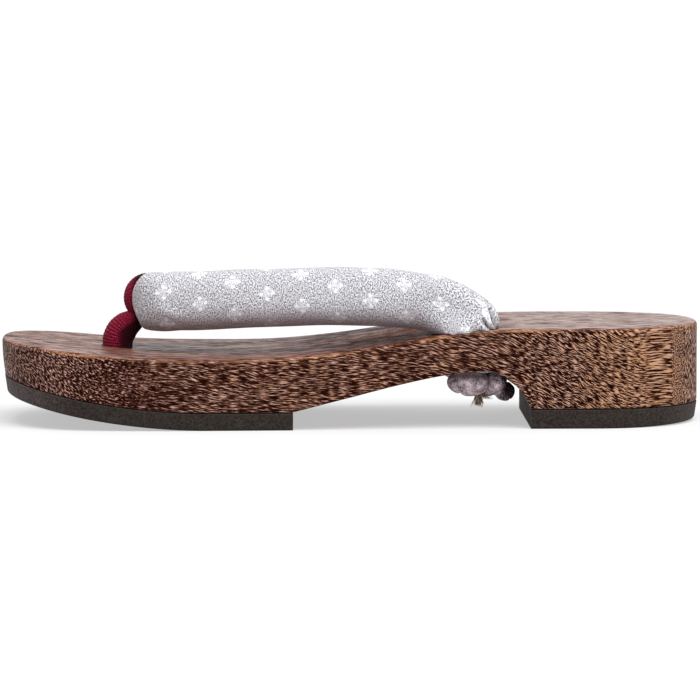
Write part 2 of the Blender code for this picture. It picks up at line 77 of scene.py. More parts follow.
ARCH_END_X = float(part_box("heel_rubber")[0][0])
TOE_SPRING = 10.9 * MM
SPRING_CURVE = 1.8
SPRING_LENGTH = 69 * MM
HEEL_LIFT = 0.8 * MM
LIFT_LENGTH = 30 * MM
FOREFOOT_PAD = 5.9 * MM
HEEL_PAD = 6.6 * MM
PAD_TAPER = 0.7 * MM
BED_BORDER = 12 * MM
FRONT_X = 39.7 * MM - LENGTH / 2
REAR_X = LENGTH / 2 - 75 * MM
REAR_INSET = 10.2 * MM
REAR_BORE = 8.6 * MM
POCKET_WIDTH = 21 * MM
POCKET_DEPTH = 9 * MM
HOLE_FLARE = 0.8 * MM
# From here on the arch falls steeply to the heel
STEEP_X = REAR_X + 6 * MM
SIDE_CURVE = 1.9
PAD_CHAMFER = 0.25 * MM
# Width of the flat rows round a pad's top and round its underside
PAD_BORDERS = (3 * MM, 4 * MM)

# Strap
STRAP_TALL = 20.2 * MM
STRAP_THICK = 14.4 * MM
STRAP_RISE = 18 * MM
STRAP_FULLNESS = 2.4
NECK_X = 50.4 * MM - LENGTH / 2
NECK_RISE = 17.6 * MM
NECK_SWELL = 0.9
# Where the neck's rings stand round the toe loop's tube, in degrees
NECK_TURNS = (0, 35, 62)
FOLD_BACK = 0.6 * MM
FOLD_DOWN = 0.6 * MM
FOLD_ROUND = 0.5 * MM
# Points round each ring, and how much closer the rings stand towards the tail: the share of a leg that
# is left falls with this power
RING_STEPS = 120
DENSER = 1.6

# Back of the strap. Its rings are fuller below their middle, where they lie on the wood, and spread
# outwards and sag, most at their foot. They end in a tail that goes down into the hole.
REAR_FULLNESS = 2.9
LYING_FULLNESS = 5.0
REAR_SPREAD = 3.2 * MM
REAR_SAG = 3.0 * MM
REAR_BEND = 11.8 * MM
REAR_THICK = 17.4 * MM
REAR_REACH = 6 * MM
TAIL_WIDTH = 7.6 * MM
TAIL_LENGTH = 11 * MM
# Its lower outer wall bulges over the rim beside the hole: how far out and down, where, how long and tall
BULGE = 2.3 * MM
BULGE_SAG = 1.5 * MM
BULGE_X = 42.5 * MM
BULGE_LONG = 7 * MM
BULGE_TALL = 6 * MM

# Toe loop, knots and cord ends
TUBE_RADIUS = 2.7 * MM
LOOP_RADIUS = 5.9 * MM
LOOP_JOINT = math.radians(250)
POST_WIDTH = 9.4 * MM
KNOT_PLAY = 1.5 * MM
KNIT_STEPS = 56
HEMP_SEED = 7

# Clearances
GAP = 0.3 * MM
SEAT = 0.25 * MM

# Foot bed: share of the length, share of the heel height
FOOT_BED = [
    (0.000, 0.840), (0.092, 0.774), (0.183, 0.714), (0.292, 0.696), (0.400, 0.709), (0.475, 0.758),
    (0.542, 0.823), (0.604, 0.897), (0.667, 0.955), (0.750, 0.976), (0.875, 0.977), (1.000, 0.983),
]
# Arch: share of its length, share of its rise
ARCH = [
    (0.000, 0.000), (0.240, 0.356), (0.448, 0.669), (0.571, 0.833), (0.682, 0.947), (0.780, 1.000),
    (0.855, 0.961), (0.880, 0.875), (0.905, 0.752), (0.943, 0.570), (0.977, 0.305), (1.000, 0.000),
]
# Front of a strap leg: turn, tall, thick, lean, fullness
FRONT_BEND = [(22, 0.94, 0.76, 0, 3.1), (45, 0.99, 0.88, 2, 2.9), (66, 1.00, 0.97, 4, 2.6)]
# Leg: along, across, rise, tall, thick, lean
LEG = [
    (0.122, 0.452, 0.975, 1.00, 1.00, 7), (0.254, 0.560, 1.030, 1.00, 1.00, 10),
    (0.429, 0.700, 1.045, 0.98, 1.00, 12), (0.605, 0.825, 0.945, 0.98, 1.00, 12),
    (0.732, 0.905, 0.795, 0.98, 1.00, 9), (0.816, 0.955, 0.645, 0.96, 1.05, 5),
]
# Back of a leg: pitch, tall, thick
REAR_ROWS = [
    (0, 0.86, 0.93), (20, 0.79, 0.97), (40, 0.78, 1.00), (56, 0.825, 1.00), (68, 0.845, 0.98),
    (79, 0.84, 0.93), (90, 0.78, 0.80),
]
# Toe post: ahead, up, wide, deep, tip
POST = [
    (0.00, 0.00, 1.10, 1.00, 0), (0.02, 0.26, 1.13, 1.00, 12), (0.16, 0.48, 1.12, 0.94, 32),
    (0.40, 0.68, 1.00, 0.84, 48), (0.72, 0.83, 0.79, 0.66, 58), (1.00, 1.00, 0.62, 0.54, 50),
]
# Lobes of a tail knot in mm: x from the hole, y outwards from it, z below the wood over it, half sizes
# along x, y and z, turn in degrees, and where along it, from -1 to 1, a crease runs round
TAIL_LOBES = [
    (-5.3, 0.5, 4.1, 7.4, 6.4, 4.7, 0, -0.55), (4.3, 0.5, 4.3, 3.5, 5.8, 4.3, 0, 0.62),
    (7.2, -3.0, 7.6, 3.4, 4.6, 3.3, 20, 0.3), (0.4, -3.0, 5.2, 5.5, 3.9, 4.2, -15, -0.2),
]
# Between these places along x in mm the tail knots' cloth goes dark: painted shade of the wood over them
TAIL_SHADE = (49.5, 52.8)
# How much of its height over the foot bed the right leg has settled: x in mm, share
RIGHT_SETTLE = [(0, 0.12), (16, 0.19), (32, 0.21), (46, 0.30)]
# A fold this deep in mm gets the cloth's full painted shade
FOLD_DARK = 1.5
# Creases where a leg goes down into its hole: 1 for its outer side and -1 for its inner side, start and
# end as (x from the hole, z over the foot bed) in mm, then width, depth and the height of its ridges
REAR_CREASES = [
    (1, (-1.0, 4.3), (2.2, 0.4), 0.50, 1.7, 0.30), (1, (0.9, 9.4), (3.6, 0.8), 0.50, 1.9, 0.30),
    (1, (-5.8, 2.4), (-1.2, 0.0), 1.00, 0.6, 0.20), (-1, (-1.5, 5.2), (2.6, 0.3), 0.70, 1.4, 0.25),
    (-1, (1.6, 9.6), (3.8, 0.6), 0.70, 1.4, 0.25),
]
# A ridge's crest stands this many widths from its trough's middle
RIDGE_PLACE = 2.1
# Puckers round the pinched neck: how many, then how deep, how far behind it and over what length in mm
PUCKERS = 9
PUCKER_DEPTH = 0.16
PUCKER_BACK = 7
PUCKER_LONG = 5
# Depth in mm of the slow dents of the wadding
DENT_DEPTH = 0.12


def smooth(table, at, column=1):
    """A curve through a table's rows: cubic pieces, each row's slope taken from its neighbours."""
    rows = np.array(table, dtype=float)
    key, value = rows[:, 0], rows[:, column]
    slope = np.gradient(value, key)
    i = np.clip(np.searchsorted(key, at, side="right") - 1, 0, len(rows) - 2)
    step = key[i + 1] - key[i]
    t = np.clip((at - key[i]) / step, 0, 1)
    rise = value[i + 1] - value[i]
    bulge = (1 - t) * (slope[i] * step - rise) - t * (slope[i + 1] * step - rise)
    return value[i] + t * rise + t * (1 - t) * bulge


def half_width(x):
    """Half the base's width: an eased taper, closed by a rounded toe and a rounded heel."""
    first = TOE_ROUND - LENGTH / 2
    last = LENGTH / 2 - HEEL_ROUND
    along = np.clip((x - first) / (last - first), 0, 1)
    ease = 0.5 - 0.5 * np.cos(math.pi * along)
    width = FOREFOOT_WIDTH + (HEEL_WIDTH - FOREFOOT_WIDTH) * ease
    toe = np.clip((first - x) / TOE_ROUND, 0, 1)
    heel = np.clip((x - last) / HEEL_ROUND, 0, 1)
    toe_close = (1 - toe ** TOE_FULLNESS) ** (1 / TOE_FULLNESS)
    heel_close = (1 - heel ** HEEL_FULLNESS) ** (1 / HEEL_FULLNESS)
    return width / 2 * toe_close * heel_close


def rear_side():
    """Distance of the rear holes from the middle line."""
    return half_width(REAR_X) - REAR_INSET


def foot_bed(x):
    """Height of the foot bed over the floor."""
    return HEEL_HEIGHT * smooth(FOOT_BED, np.clip(x / LENGTH + 0.5, 0, 1))


def toe_lift(x):
    """Height of the toe spring over the floor: a power of the distance ahead of where it starts."""
    toe = np.clip((SPRING_LENGTH - LENGTH / 2 - x) / SPRING_LENGTH, 0, 1)
    return TOE_SPRING * toe ** SPRING_CURVE


def tread(x):
    """Height of the tread over the floor: the toe spring, flat, and a small worn lift at the heel."""
    heel = np.clip((x - LENGTH / 2 + LIFT_LENGTH) / LIFT_LENGTH, 0, 1)
    return toe_lift(x) + HEEL_LIFT * heel ** 2


def wood_under(x):
    """Height of the wood's underside: over the pads it follows the toe spring, between them the arch."""
    along = np.clip((x - ARCH_START_X) / (ARCH_END_X - ARCH_START_X), 0, 1)
    pads = FOREFOOT_PAD + (HEEL_PAD - FOREFOOT_PAD) * along + GAP
    return toe_lift(x) + pads + (ARCH_HEIGHT - pads) * smooth(ARCH, along)


def side_inset(x):
    """How far the side's lower edge stands in from the rim, most at the toe."""
    return SIDE_TAPER * (0.5 - x / LENGTH)


def stations(start, end, fine=40):
    """Places along the base: cosine steps round each end, even steps between, and the arch's own rows."""
    quarter = np.linspace(0, math.pi / 2, fine)
    toe = -LENGTH / 2 + TOE_ROUND * (1 - np.cos(quarter))
    heel = LENGTH / 2 - HEEL_ROUND * (1 - np.cos(quarter[::-1]))
    even = np.linspace(toe[-1], heel[0], 3 * fine)
    steep = np.linspace(STEEP_X, ARCH_END_X, fine)
    every = np.unique(np.concatenate([toe, heel, even, steep, [start, end]]).round(6))
    return every[(every >= start - 1e-6) & (every <= end + 1e-6)]


def outward(x):
    """Outward direction of the outline at each station, straight out at the two tips."""
    y = half_width(x)
    ahead = np.array([np.gradient(x), np.gradient(y)])
    if y[0] < MM:
        ahead[:, 0] = (0, 1)
    if y[-1] < MM:
        ahead[:, -1] = (0, -1)
    ahead /= np.hypot(*ahead)
    return np.array([-ahead[1], ahead[0]])


def block(x, rows, fill_steps, flat_ends=()):
    """Closed sections of the base's outline. A row is (inset, height function, drop below it).

    Point = outline at x, moved in along its normal by the inset, at the height there less the drop.
    Fill rows join the first and the last row to the middle line in even steps of y.
    """
    out = outward(x)
    side = np.zeros((len(x), len(rows), 3))
    for i, (inset, height, drop) in enumerate(rows):
        side[:, i, 0] = x - out[0] * inset
        side[:, i, 1] = half_width(x) - out[1] * inset
        for end in flat_ends:
            side[end, i, 0] = x[end]
        side[:, i, 2] = height(side[:, i, 0]) - drop
    share = np.linspace(0, 1, fill_steps, endpoint=False)[None, :, None]
    top = side[:, :1] * np.array([1, 0, 1]) + side[:, :1] * np.array([0, 1, 0]) * share
    under = side[:, -1:] * np.array([1, 0, 1]) + side[:, -1:] * np.array([0, 1, 0]) * share[:, ::-1]
    half = np.concatenate([top, side, under], axis=1)
    other = half[:, -2:0:-1] * np.array([1, -1, 1])
    return np.concatenate([half, other], axis=1)


def surface(name, points, material, uv=None, closed_rows=False, sharp=40, fold=None):
    """An object over grids of points, shaped (grids, rows, columns, 3), each grid's columns closed.

    Row i and column j join row i + 1 and column j + 1. Rows are left open unless closed_rows; where
    an open end's row isn't shrunk to a point, one flat face closes it. Points at one place merge. A
    fold is a value at each point, from 0 to 1, for the material's painted shade in folds.
    """
    grids, n, m = points.shape[:3]
    rows = np.arange(n if closed_rows else n - 1)
    g, i, j = [a.ravel() for a in np.meshgrid(np.arange(grids), rows, np.arange(m), indexing="ij")]
    corners = [(i, j), (i + 1, j), (i + 1, j + 1), (i, j + 1)]
    quads = np.stack([g * n * m + (a % n) * m + b % m for a, b in corners], axis=1)
    mesh = bpy.data.meshes.new(name)
    mesh.vertices.add(grids * n * m)
    mesh.vertices.foreach_set("co", points.ravel().astype(np.float32))
    mesh.loops.add(quads.size)
    mesh.loops.foreach_set("vertex_index", quads.ravel().astype(np.int32))
    mesh.polygons.add(len(quads))
    mesh.polygons.foreach_set("loop_start", np.arange(0, quads.size, 4, dtype=np.int32))
    mesh.update(calc_edges=True)
    if uv is not None:
        layer = mesh.uv_layers.new(name="surface")
        corner_uv = np.stack([uv[g, a, b] for a, b in corners], axis=1)
        layer.data.foreach_set("uv", corner_uv.ravel().astype(np.float32))
    if fold is not None:
        depth = mesh.attributes.new("fold", "FLOAT", "POINT")
        depth.data.foreach_set("value", fold.ravel().astype(np.float32))
    body = bmesh.new()
    body.from_mesh(mesh)
    bmesh.ops.remove_doubles(body, verts=body.verts, dist=2e-7)
    bmesh.ops.dissolve_degenerate(body, edges=body.edges, dist=1e-8)
    bmesh.ops.holes_fill(body, edges=body.edges, sides=0)
    bmesh.ops.recalc_face_normals(body, faces=body.faces)
    body.to_mesh(mesh)
    body.free()
    mesh.materials.append(material)
    mesh.shade_smooth()
    if sharp:
        mesh.set_sharp_from_angle(angle=math.radians(sharp))
    thing = bpy.data.objects.new(name, mesh)
    bpy.context.scene.collection.objects.link(thing)
    return thing


def turned(name, profile, centre, material, steps=64):
    """A solid of revolution: radius and height pairs, turned about an upright axis at the centre."""
    angle = np.linspace(0, 2 * math.pi, steps, endpoint=False)
    profile = np.array(profile, dtype=float)
    points = np.zeros((1, len(profile), steps, 3))
    points[0, :, :, 0] = centre[0] + profile[:, :1] * np.cos(angle)
    points[0, :, :, 1] = centre[1] + profile[:, :1] * np.sin(angle)
    points[0, :, :, 2] = profile[:, 1:]
    return surface(name, points, material)


def combine(thing, others, how, sharp=40):
    """Cut the others out of the first object or fuse them on, exactly, and keep the result as its mesh."""
    for other in others:
        change = thing.modifiers.new(other.name, "BOOLEAN")
        change.operation = how
        change.solver = "EXACT"
        change.object = other
    graph = bpy.context.evaluated_depsgraph_get()
    mesh = bpy.data.meshes.new_from_object(thing.evaluated_get(graph))
    thing.modifiers.clear()
    thing.data = mesh
    mesh.shade_smooth()
    mesh.set_sharp_from_angle(angle=math.radians(sharp))
    for other in others:
        bpy.data.objects.remove(other)


def linear(hex_colour):
    """sRGB hex to linear red, green and blue."""
    parts = [int(hex_colour[i:i + 2], 16) / 255 for i in (0, 2, 4)]
    return [c / 12.92 if c < 0.04045 else ((c + 0.055) / 1.055) ** 2.4 for c in parts]


def give(tree, socket, value):
    """Links an output to an input, or sets the input's value. A colour has three linear parts."""
    if isinstance(value, bpy.types.NodeSocket):
        tree.links.new(value, socket)
    else:
        socket.default_value = (*value, 1) if socket.type == "RGBA" else value


def fill(tree, node, **named):
    """Links or sets a node's inputs by name, with _ for a space."""
    for key, value in named.items():
        give(tree, node.inputs[key.replace("_", " ")], value)


def add(tree, kind, *values, out=None, table=(), **settings):
    """Adds a node and returns its first output in use, or the one that out names.

    A kind may end in a dot and its operation. Values link or set the inputs in use, in order, settings
    are the node's own, and a table holds a colour ramp's stops or a curve's points.
    """
    kind, _, operation = kind.partition(".")
    node = tree.nodes.new("ShaderNode" + kind)
    if operation:
        node.operation = operation
    for key, value in settings.items():
        setattr(node, key, value)
    if kind == "ValToRGB":
        row = node.color_ramp.elements
        while len(row) < len(table):
            row.new(0.5)
        for stop, (place, colour) in zip(row, table):
            stop.position = place
            stop.color = (*colour, 1)
    elif table:
        line = node.mapping.curves[0]
        line.points[0].location = table[0]
        line.points[1].location = table[-1]
        for point in table[1:-1]:
            line.points.new(*point)
        node.mapping.update()
    used = [socket for socket in node.inputs if socket.enabled]
    for socket, value in zip(used, values):
        give(tree, socket, value)
    return node.outputs[out] if out else next(socket for socket in node.outputs if socket.enabled)


SOFT = {"interpolation_type": "SMOOTHSTEP"}
COLOUR = {"data_type": "RGBA"}


def window(tree, value, low, high, soft):
    """1 between low and high, easing to 0 over soft at each side."""
    rise = add(tree, "MapRange", value, low - soft, low + soft, **SOFT)
    fall = add(tree, "MapRange", value, high + soft, high - soft, **SOFT)
    return add(tree, "Math.MULTIPLY", rise, fall)


def streaks(tree, x, y, long, thick, detail=2.0, rough=0.55, offset=0.0):
    """Noise in long thin flecks: x and y in mm over a fleck's length and thickness in mm."""
    along = add(tree, "Math.DIVIDE", x, long)
    across = add(tree, "Math.MULTIPLY_ADD", y, 1 / thick, offset)
    place = add(tree, "CombineXYZ", along, across)
    return add(tree, "TexNoise", place, 1.0, detail, rough, noise_dimensions="2D")


def weave_of(tree, u, v, pitch):
    """Crossing threads, from -1 to 1: the sine along times the sine across, pitch in mm."""
    warp = add(tree, "Math.SINE", add(tree, "Math.MULTIPLY", u, 2 * math.pi / pitch))
    weft = add(tree, "Math.SINE", add(tree, "Math.MULTIPLY", v, 2 * math.pi / pitch))
    return add(tree, "Math.MULTIPLY", warp, weft)


def material(name):
    """An empty node material with its Principled shader linked to the output."""
    thing = bpy.data.materials.new(name)
    thing.use_nodes = True
    tree = thing.node_tree
    return thing, tree, tree.nodes["Principled BSDF"]


def place_mm(tree, own=False):
    """The x, y and z sockets of the Object coordinates, or of the piece's own UV map, in mm."""
    if own:
        where = add(tree, "UVMap", uv_map="surface")
    else:
        where = add(tree, "VectorMath.SCALE", add(tree, "TexCoord", out="Object"), 1 / MM)
    return list(add(tree, "SeparateXYZ", where).node.outputs)


# How far the grain has fallen along the base: share of the length, share of GRAIN_FALL_MM
GRAIN_FALL_MM = 69.0
GRAIN_FALL = [
    (0, 0), (0.096, 0.362), (0.142, 0.442), (0.254, 0.507), (0.429, 0.572), (0.529, 0.58), (0.625, 0.623),
    (0.7375, 0.739), (0.833, 0.891), (0.917, 1), (1, 1),
]
# How light the wood's sides are along the base: share of the length, 0.5 for the middle tone
SIDE_LIGHT = [
    (0, 0.50), (0.05, 0.46), (0.10, 0.28), (0.24, 0.28), (0.32, 0.34), (0.50, 0.40), (0.69, 0.26),
    (0.76, 0.02), (0.83, 0.18), (0.88, 0.48), (0.925, 0.90), (0.95, 0.88), (0.965, 0.66), (1, 0.50),
]
SIDE_LIGHT_RANGE = 0.12
# How far along the grain the far side starts
FAR_GRAIN_MM = 400
# How far up the surface faces where the rim has its painted highlight, and where the side gives way to the
# foot bed
RIM_FACING = (0.30, 0.74, 0.12)
BED_FACING = (0.60, 0.92)
# Zones of the wood's figure along the base: from and to in mm, and how softly each one ends
ZIGZAG_ZONE = (58.0, 84.0, 6.0)
COARSE_ZONE = (56.0, 100.0, 5.0)
LINES_ZONE = (101.0, 109.0, 1.5)
DOTS_ZONE = (109.5, 114.0, 1.0)
HONEY_ZONE = (80.0, 113.0, 5.0)
# where the foot bed has painted shade under the strap's back
SHADE_ZONE = (-14.0, 40.0, 16.0)
# Where the toe's flecks turn into dashes, the ground warms, the heel's figure begins and the hatch begins
DASHES_FROM = (-98.0, -52.0)
WARMTH_FROM = (-85.0, -30.0)
HEEL_FROM = (40.0, 62.0)
HATCH_FROM = (113.5, 114.5)


def side_figure(tree, x, u, v, along):
    """The flecks of the wood's sides, from 0 to 1. They run in lanes: v plus the fall of the grain,
    swayed by slow waves 14 mm long and by quick ones of 3 mm, strongest where the figure zigzags."""
    fall = add(tree, "Math.MULTIPLY", add(tree, "FloatCurve", 1.0, along, table=GRAIN_FALL), GRAIN_FALL_MM)
    slow = streaks(tree, u, v, 14.0, 8.0, 1.0)
    quick = streaks(tree, u, v, 2.8, 2.6, 1.0, offset=7.0)
    sway = add(tree, "Math.MULTIPLY_ADD", slow, 2.2, -1.1)
    jolt = add(tree, "Math.MULTIPLY", add(tree, "Math.SUBTRACT", quick, 0.5),
               add(tree, "Math.ADD", window(tree, x, *ZIGZAG_ZONE), 0.25))
    lane = add(tree, "Math.ADD", add(tree, "Math.ADD", v, fall), add(tree, "Math.ADD", sway, jolt))
    # flecks of 1.1 by 0.5 mm at the toe, then dashes of 3.4 by 0.3 mm, then dashes of 2.4 by 0.4 mm
    short = streaks(tree, u, lane, 1.1, 0.48, offset=3.0)
    dashes = streaks(tree, u, lane, 3.4, 0.33, offset=11.0)
    coarse = streaks(tree, u, lane, 2.4, 0.36, offset=19.0)
    # behind them level lines 7 mm long, dots of 0.5 mm, and a slanting hatch of end grain 1.7 mm tall
    level = add(tree, "Math.MULTIPLY_ADD", sway, 0.35, v)
    lines = streaks(tree, u, level, 7.0, 0.42, offset=5.0)
    slant = add(tree, "Math.MULTIPLY_ADD", v, -0.42, u)
    dots = streaks(tree, slant, v, 0.42, 0.55, offset=27.0)
    hatch = streaks(tree, slant, v, 0.50, 1.7, offset=9.0)
    fleck = add(tree, "Mix", add(tree, "MapRange", x, *DASHES_FROM, **SOFT), short, dashes)
    for part, pattern in (
            (window(tree, x, *COARSE_ZONE), coarse), (window(tree, x, *LINES_ZONE), lines),
            (window(tree, x, *DOTS_ZONE), dots), (add(tree, "MapRange", x, *HATCH_FROM), hatch)):
        fleck = add(tree, "Mix", part, fleck, pattern)
    return fleck


def side_colour(tree, colours, x, u, v, along, upward, heel, fleck):
    """Colour of the wood's sides: the flecks, bolder at the heel, over slow patches and the light along
    the base, then a honey tint that also comes and goes in patches, and a painted warm highlight on the
    rim's round."""
    bold = add(tree, "Math.MULTIPLY_ADD", heel, 0.70, 1.0)
    tone = add(tree, "Math.MULTIPLY", add(tree, "Math.SUBTRACT", fleck, 0.5), bold)
    patch = streaks(tree, u, v, 22.0, 8.0, 1.0, offset=31.0)
    shift = add(tree, "Math.MULTIPLY", add(tree, "Math.SUBTRACT", patch, 0.5), 0.11)
    light = add(tree, "FloatCurve", 1.0, along, table=SIDE_LIGHT)
    light = add(tree, "Math.MULTIPLY_ADD", light, SIDE_LIGHT_RANGE, 0.5 - SIDE_LIGHT_RANGE / 2)
    tone = add(tree, "Math.ADD", tone, add(tree, "Math.ADD", shift, light))
    side = add(tree, "ValToRGB", tone, table=[
        (0.40, colours.pore), (0.465, colours.dark), (0.515, colours.mid), (0.575, colours.tan),
        (0.65, colours.gold)])
    glow = add(tree, "MapRange", streaks(tree, u, v, 9.0, 5.0, 1.0, offset=43.0), 0.45, 0.70, **SOFT)
    ground = add(tree, "Math.MULTIPLY", add(tree, "MapRange", x, *WARMTH_FROM, **SOFT), 0.40)
    warm = add(tree, "Math.MULTIPLY_ADD", window(tree, x, *HONEY_ZONE), 0.35,
               add(tree, "Math.MULTIPLY_ADD", glow, 0.25, ground))
    side = add(tree, "Mix", warm, side, colours.honey, blend_type="MULTIPLY", **COLOUR)
    # painted warm highlight on the rim's round, broken up in patches
    worn = add(tree, "Math.MULTIPLY", window(tree, upward, *RIM_FACING),
               add(tree, "MapRange", patch, 0.42, 0.66, 0.08, 0.60))
    return add(tree, "Mix", worn, side, colours.rim, **COLOUR)


def bed_figure(tree, x, y, heel):
    """Tone of the foot bed, from 0 to 1: streaks of 7 by 0.6 mm over broad ones of 26 by 5 mm, in lanes
    that bend slowly, with painted shade under the strap's back, and lighter at the heel."""
    bend = add(tree, "Math.MULTIPLY", streaks(tree, x, y, 40.0, 16.0, 1.0, offset=2.0), 8.0)
    lane = add(tree, "Math.ADD", y, bend)
    fine = streaks(tree, x, lane, 7.0, 0.65, 3.0, 0.6, offset=13.0)
    broad = streaks(tree, x, lane, 26.0, 5.0, offset=23.0)
    tone = add(tree, "Math.MULTIPLY_ADD", fine, 0.78, add(tree, "Math.MULTIPLY", broad, 0.22))
    shade = add(tree, "Math.MULTIPLY", window(tree, x, *SHADE_ZONE), -0.06)
    return add(tree, "Math.ADD", tone, add(tree, "Math.MULTIPLY_ADD", heel, 0.025, shade))


def figured_hardwood(colours):
    """Dense dark figured hardwood, sawn, sanded and oiled: short tan flecks of pore and ray on a dark
    red-brown ground at the sides, a painted warm highlight on the rim, and long streaks with a dull
    polish on the foot bed."""
    thing, tree, shader = material("figured_hardwood")
    x, y, _ = place_mm(tree)
    u, v, _ = place_mm(tree, own=True)
    upward = add(tree, "SeparateXYZ", add(tree, "NewGeometry", out="Normal")).node.outputs[2]
    lying = add(tree, "MapRange", add(tree, "Math.ABSOLUTE", upward), *BED_FACING, **SOFT)
    along = add(tree, "Math.MULTIPLY_ADD", x, MM / LENGTH, 0.5)
    heel = add(tree, "MapRange", x, *HEEL_FROM, **SOFT)
    fleck = side_figure(tree, x, u, v, along)
    side = side_colour(tree, colours, x, u, v, along, upward, heel, fleck)
    streak = bed_figure(tree, x, y, heel)
    bed = add(tree, "ValToRGB", streak, table=[
        (0.445, colours.bed_dark), (0.49, colours.bed_mid), (0.54, colours.bed_light)])
    polish = add(tree, "MapRange", streak, 0.44, 0.55, **SOFT)
    wax = add(tree, "Math.MULTIPLY", add(tree, "Math.MULTIPLY_ADD", polish, 0.96, 0.01),
              add(tree, "Math.MULTIPLY_ADD", heel, 0.40, 0.60))
    rough_side = add(tree, "Math.MULTIPLY_ADD", fleck, -0.4, 0.72)
    rough_bed = add(tree, "Math.MULTIPLY_ADD", polish, -0.22, 0.56)
    height = add(tree, "Mix", lying, add(tree, "MapRange", fleck, 0.35, 0.65, **SOFT), polish)
    fill(tree, shader,
         Base_Color=add(tree, "Mix", lying, side, bed, **COLOUR),
         Roughness=add(tree, "Mix", lying, rough_side, rough_bed),
         Coat_Weight=add(tree, "Math.MULTIPLY", lying, wax),
         Coat_Roughness=0.32, Specular_IOR_Level=0.03,
         Normal=add(tree, "Bump", 0.8, 0.10 * MM, 0.1, height))
    return thing


# Where the treads' painted sheen grows towards the toe and the heel: from and to in mm
TOE_SHEEN = (-92.0, -117.0)
HEEL_SHEEN = (100.0, 119.0)


def tread_rubber(colours):
    """Moulded synthetic rubber, cut and buffed: matt charcoal with a fine stipple, a little paler and
    dusty in scuffs here and there, and with a painted pale sheen that grows towards its ends."""
    thing, tree, shader = material("tread_rubber")
    x, _, _ = place_mm(tree)
    position = add(tree, "TexCoord", out="Object")
    # grit of 0.8 mm, drawn coarser than the real 0.3 mm so that it shows, and scuffs of 6 mm
    grit = add(tree, "MapRange", add(tree, "TexNoise", position, 1200.0, 3.0, 0.7), 0.34, 0.66)
    scuff = add(tree, "TexNoise", position, 160.0, 3.0)
    # painted pale sheen of the treads' round ends, fullest at the toe
    toe = add(tree, "MapRange", x, *TOE_SHEEN, **SOFT)
    heel = add(tree, "Math.MULTIPLY", add(tree, "MapRange", x, *HEEL_SHEEN, **SOFT), 0.35)
    ends = add(tree, "Math.ADD", toe, heel)
    pale = add(tree, "Math.MULTIPLY_ADD", ends, 0.6, add(tree, "Math.MULTIPLY", scuff, 0.14))
    base = add(tree, "Mix", pale, colours.rubber, colours.rubber_pale, **COLOUR)
    base = add(tree, "Mix", add(tree, "Math.MULTIPLY", grit, 0.75), base, colours.pore, **COLOUR)
    fill(tree, shader, Base_Color=base, Roughness=add(tree, "Math.MULTIPLY_ADD", scuff, 0.25, 0.55),
         Specular_IOR_Level=0.08, Normal=add(tree, "Bump", 0.6, 0.10 * MM, 0.1, grit))
    return thing


# White motif of the strap in mm: spacing along and across, its start, its tilt, and its dots' reach and
# radius
MOTIF_PITCH = (23.5, 11.5)
MOTIF_START = (8.2, 1.7)
MOTIF_TILT = -0.09
MOTIF_REACH = (1.95, 1.8)
MOTIF_DOT = 0.72


def diamonds(tree, u, v, pitch, start, tilt, reach, dot):
    """White dots in fours: a staggered lattice of the given pitch along and across in mm, from a start
    in mm, turned by tilt, each a diamond of four soft dots reach mm from its middle, on a faint haze.
    Distances are to the nearest dot and the nearest middle, folded into one quarter."""
    c, s = math.cos(tilt), math.sin(tilt)
    slant = add(tree, "Math.MULTIPLY_ADD", v, s / pitch[0], -start[0] / pitch[0])
    a = add(tree, "Math.MULTIPLY_ADD", u, c / pitch[0], slant)
    slant = add(tree, "Math.MULTIPLY_ADD", u, -s / pitch[1], -start[1] / pitch[1])
    b = add(tree, "Math.MULTIPLY_ADD", v, c / pitch[1], slant)
    nearest = {}
    for shift in (0.5, 1.0):
        folded = []
        for cell, size in ((a, pitch[0]), (b, pitch[1])):
            cell = add(tree, "Math.FRACT", add(tree, "Math.ADD", cell, shift))
            cell = add(tree, "Math.ABSOLUTE", add(tree, "Math.SUBTRACT", cell, 0.5))
            folded.append(add(tree, "Math.MULTIPLY", cell, size))
        for kind, p, q in (("dot", reach[0], 0.0), ("dot", 0.0, reach[1]), ("middle", 0.0, 0.0)):
            across = add(tree, "Math.SUBTRACT", folded[0], p)
            down = add(tree, "Math.SUBTRACT", folded[1], q)
            far = add(tree, "VectorMath.LENGTH", add(tree, "CombineXYZ", across, down))
            nearest[kind] = add(tree, "Math.MINIMUM", nearest[kind], far) if kind in nearest else far
    dots = add(tree, "MapRange", nearest["dot"], dot * 1.5, dot * 0.3, **SOFT)
    haze = add(tree, "MapRange", nearest["middle"], reach[0] * 1.7, 0.0, **SOFT)
    return add(tree, "Math.MAXIMUM", dots, add(tree, "Math.MULTIPLY", haze, 0.45))


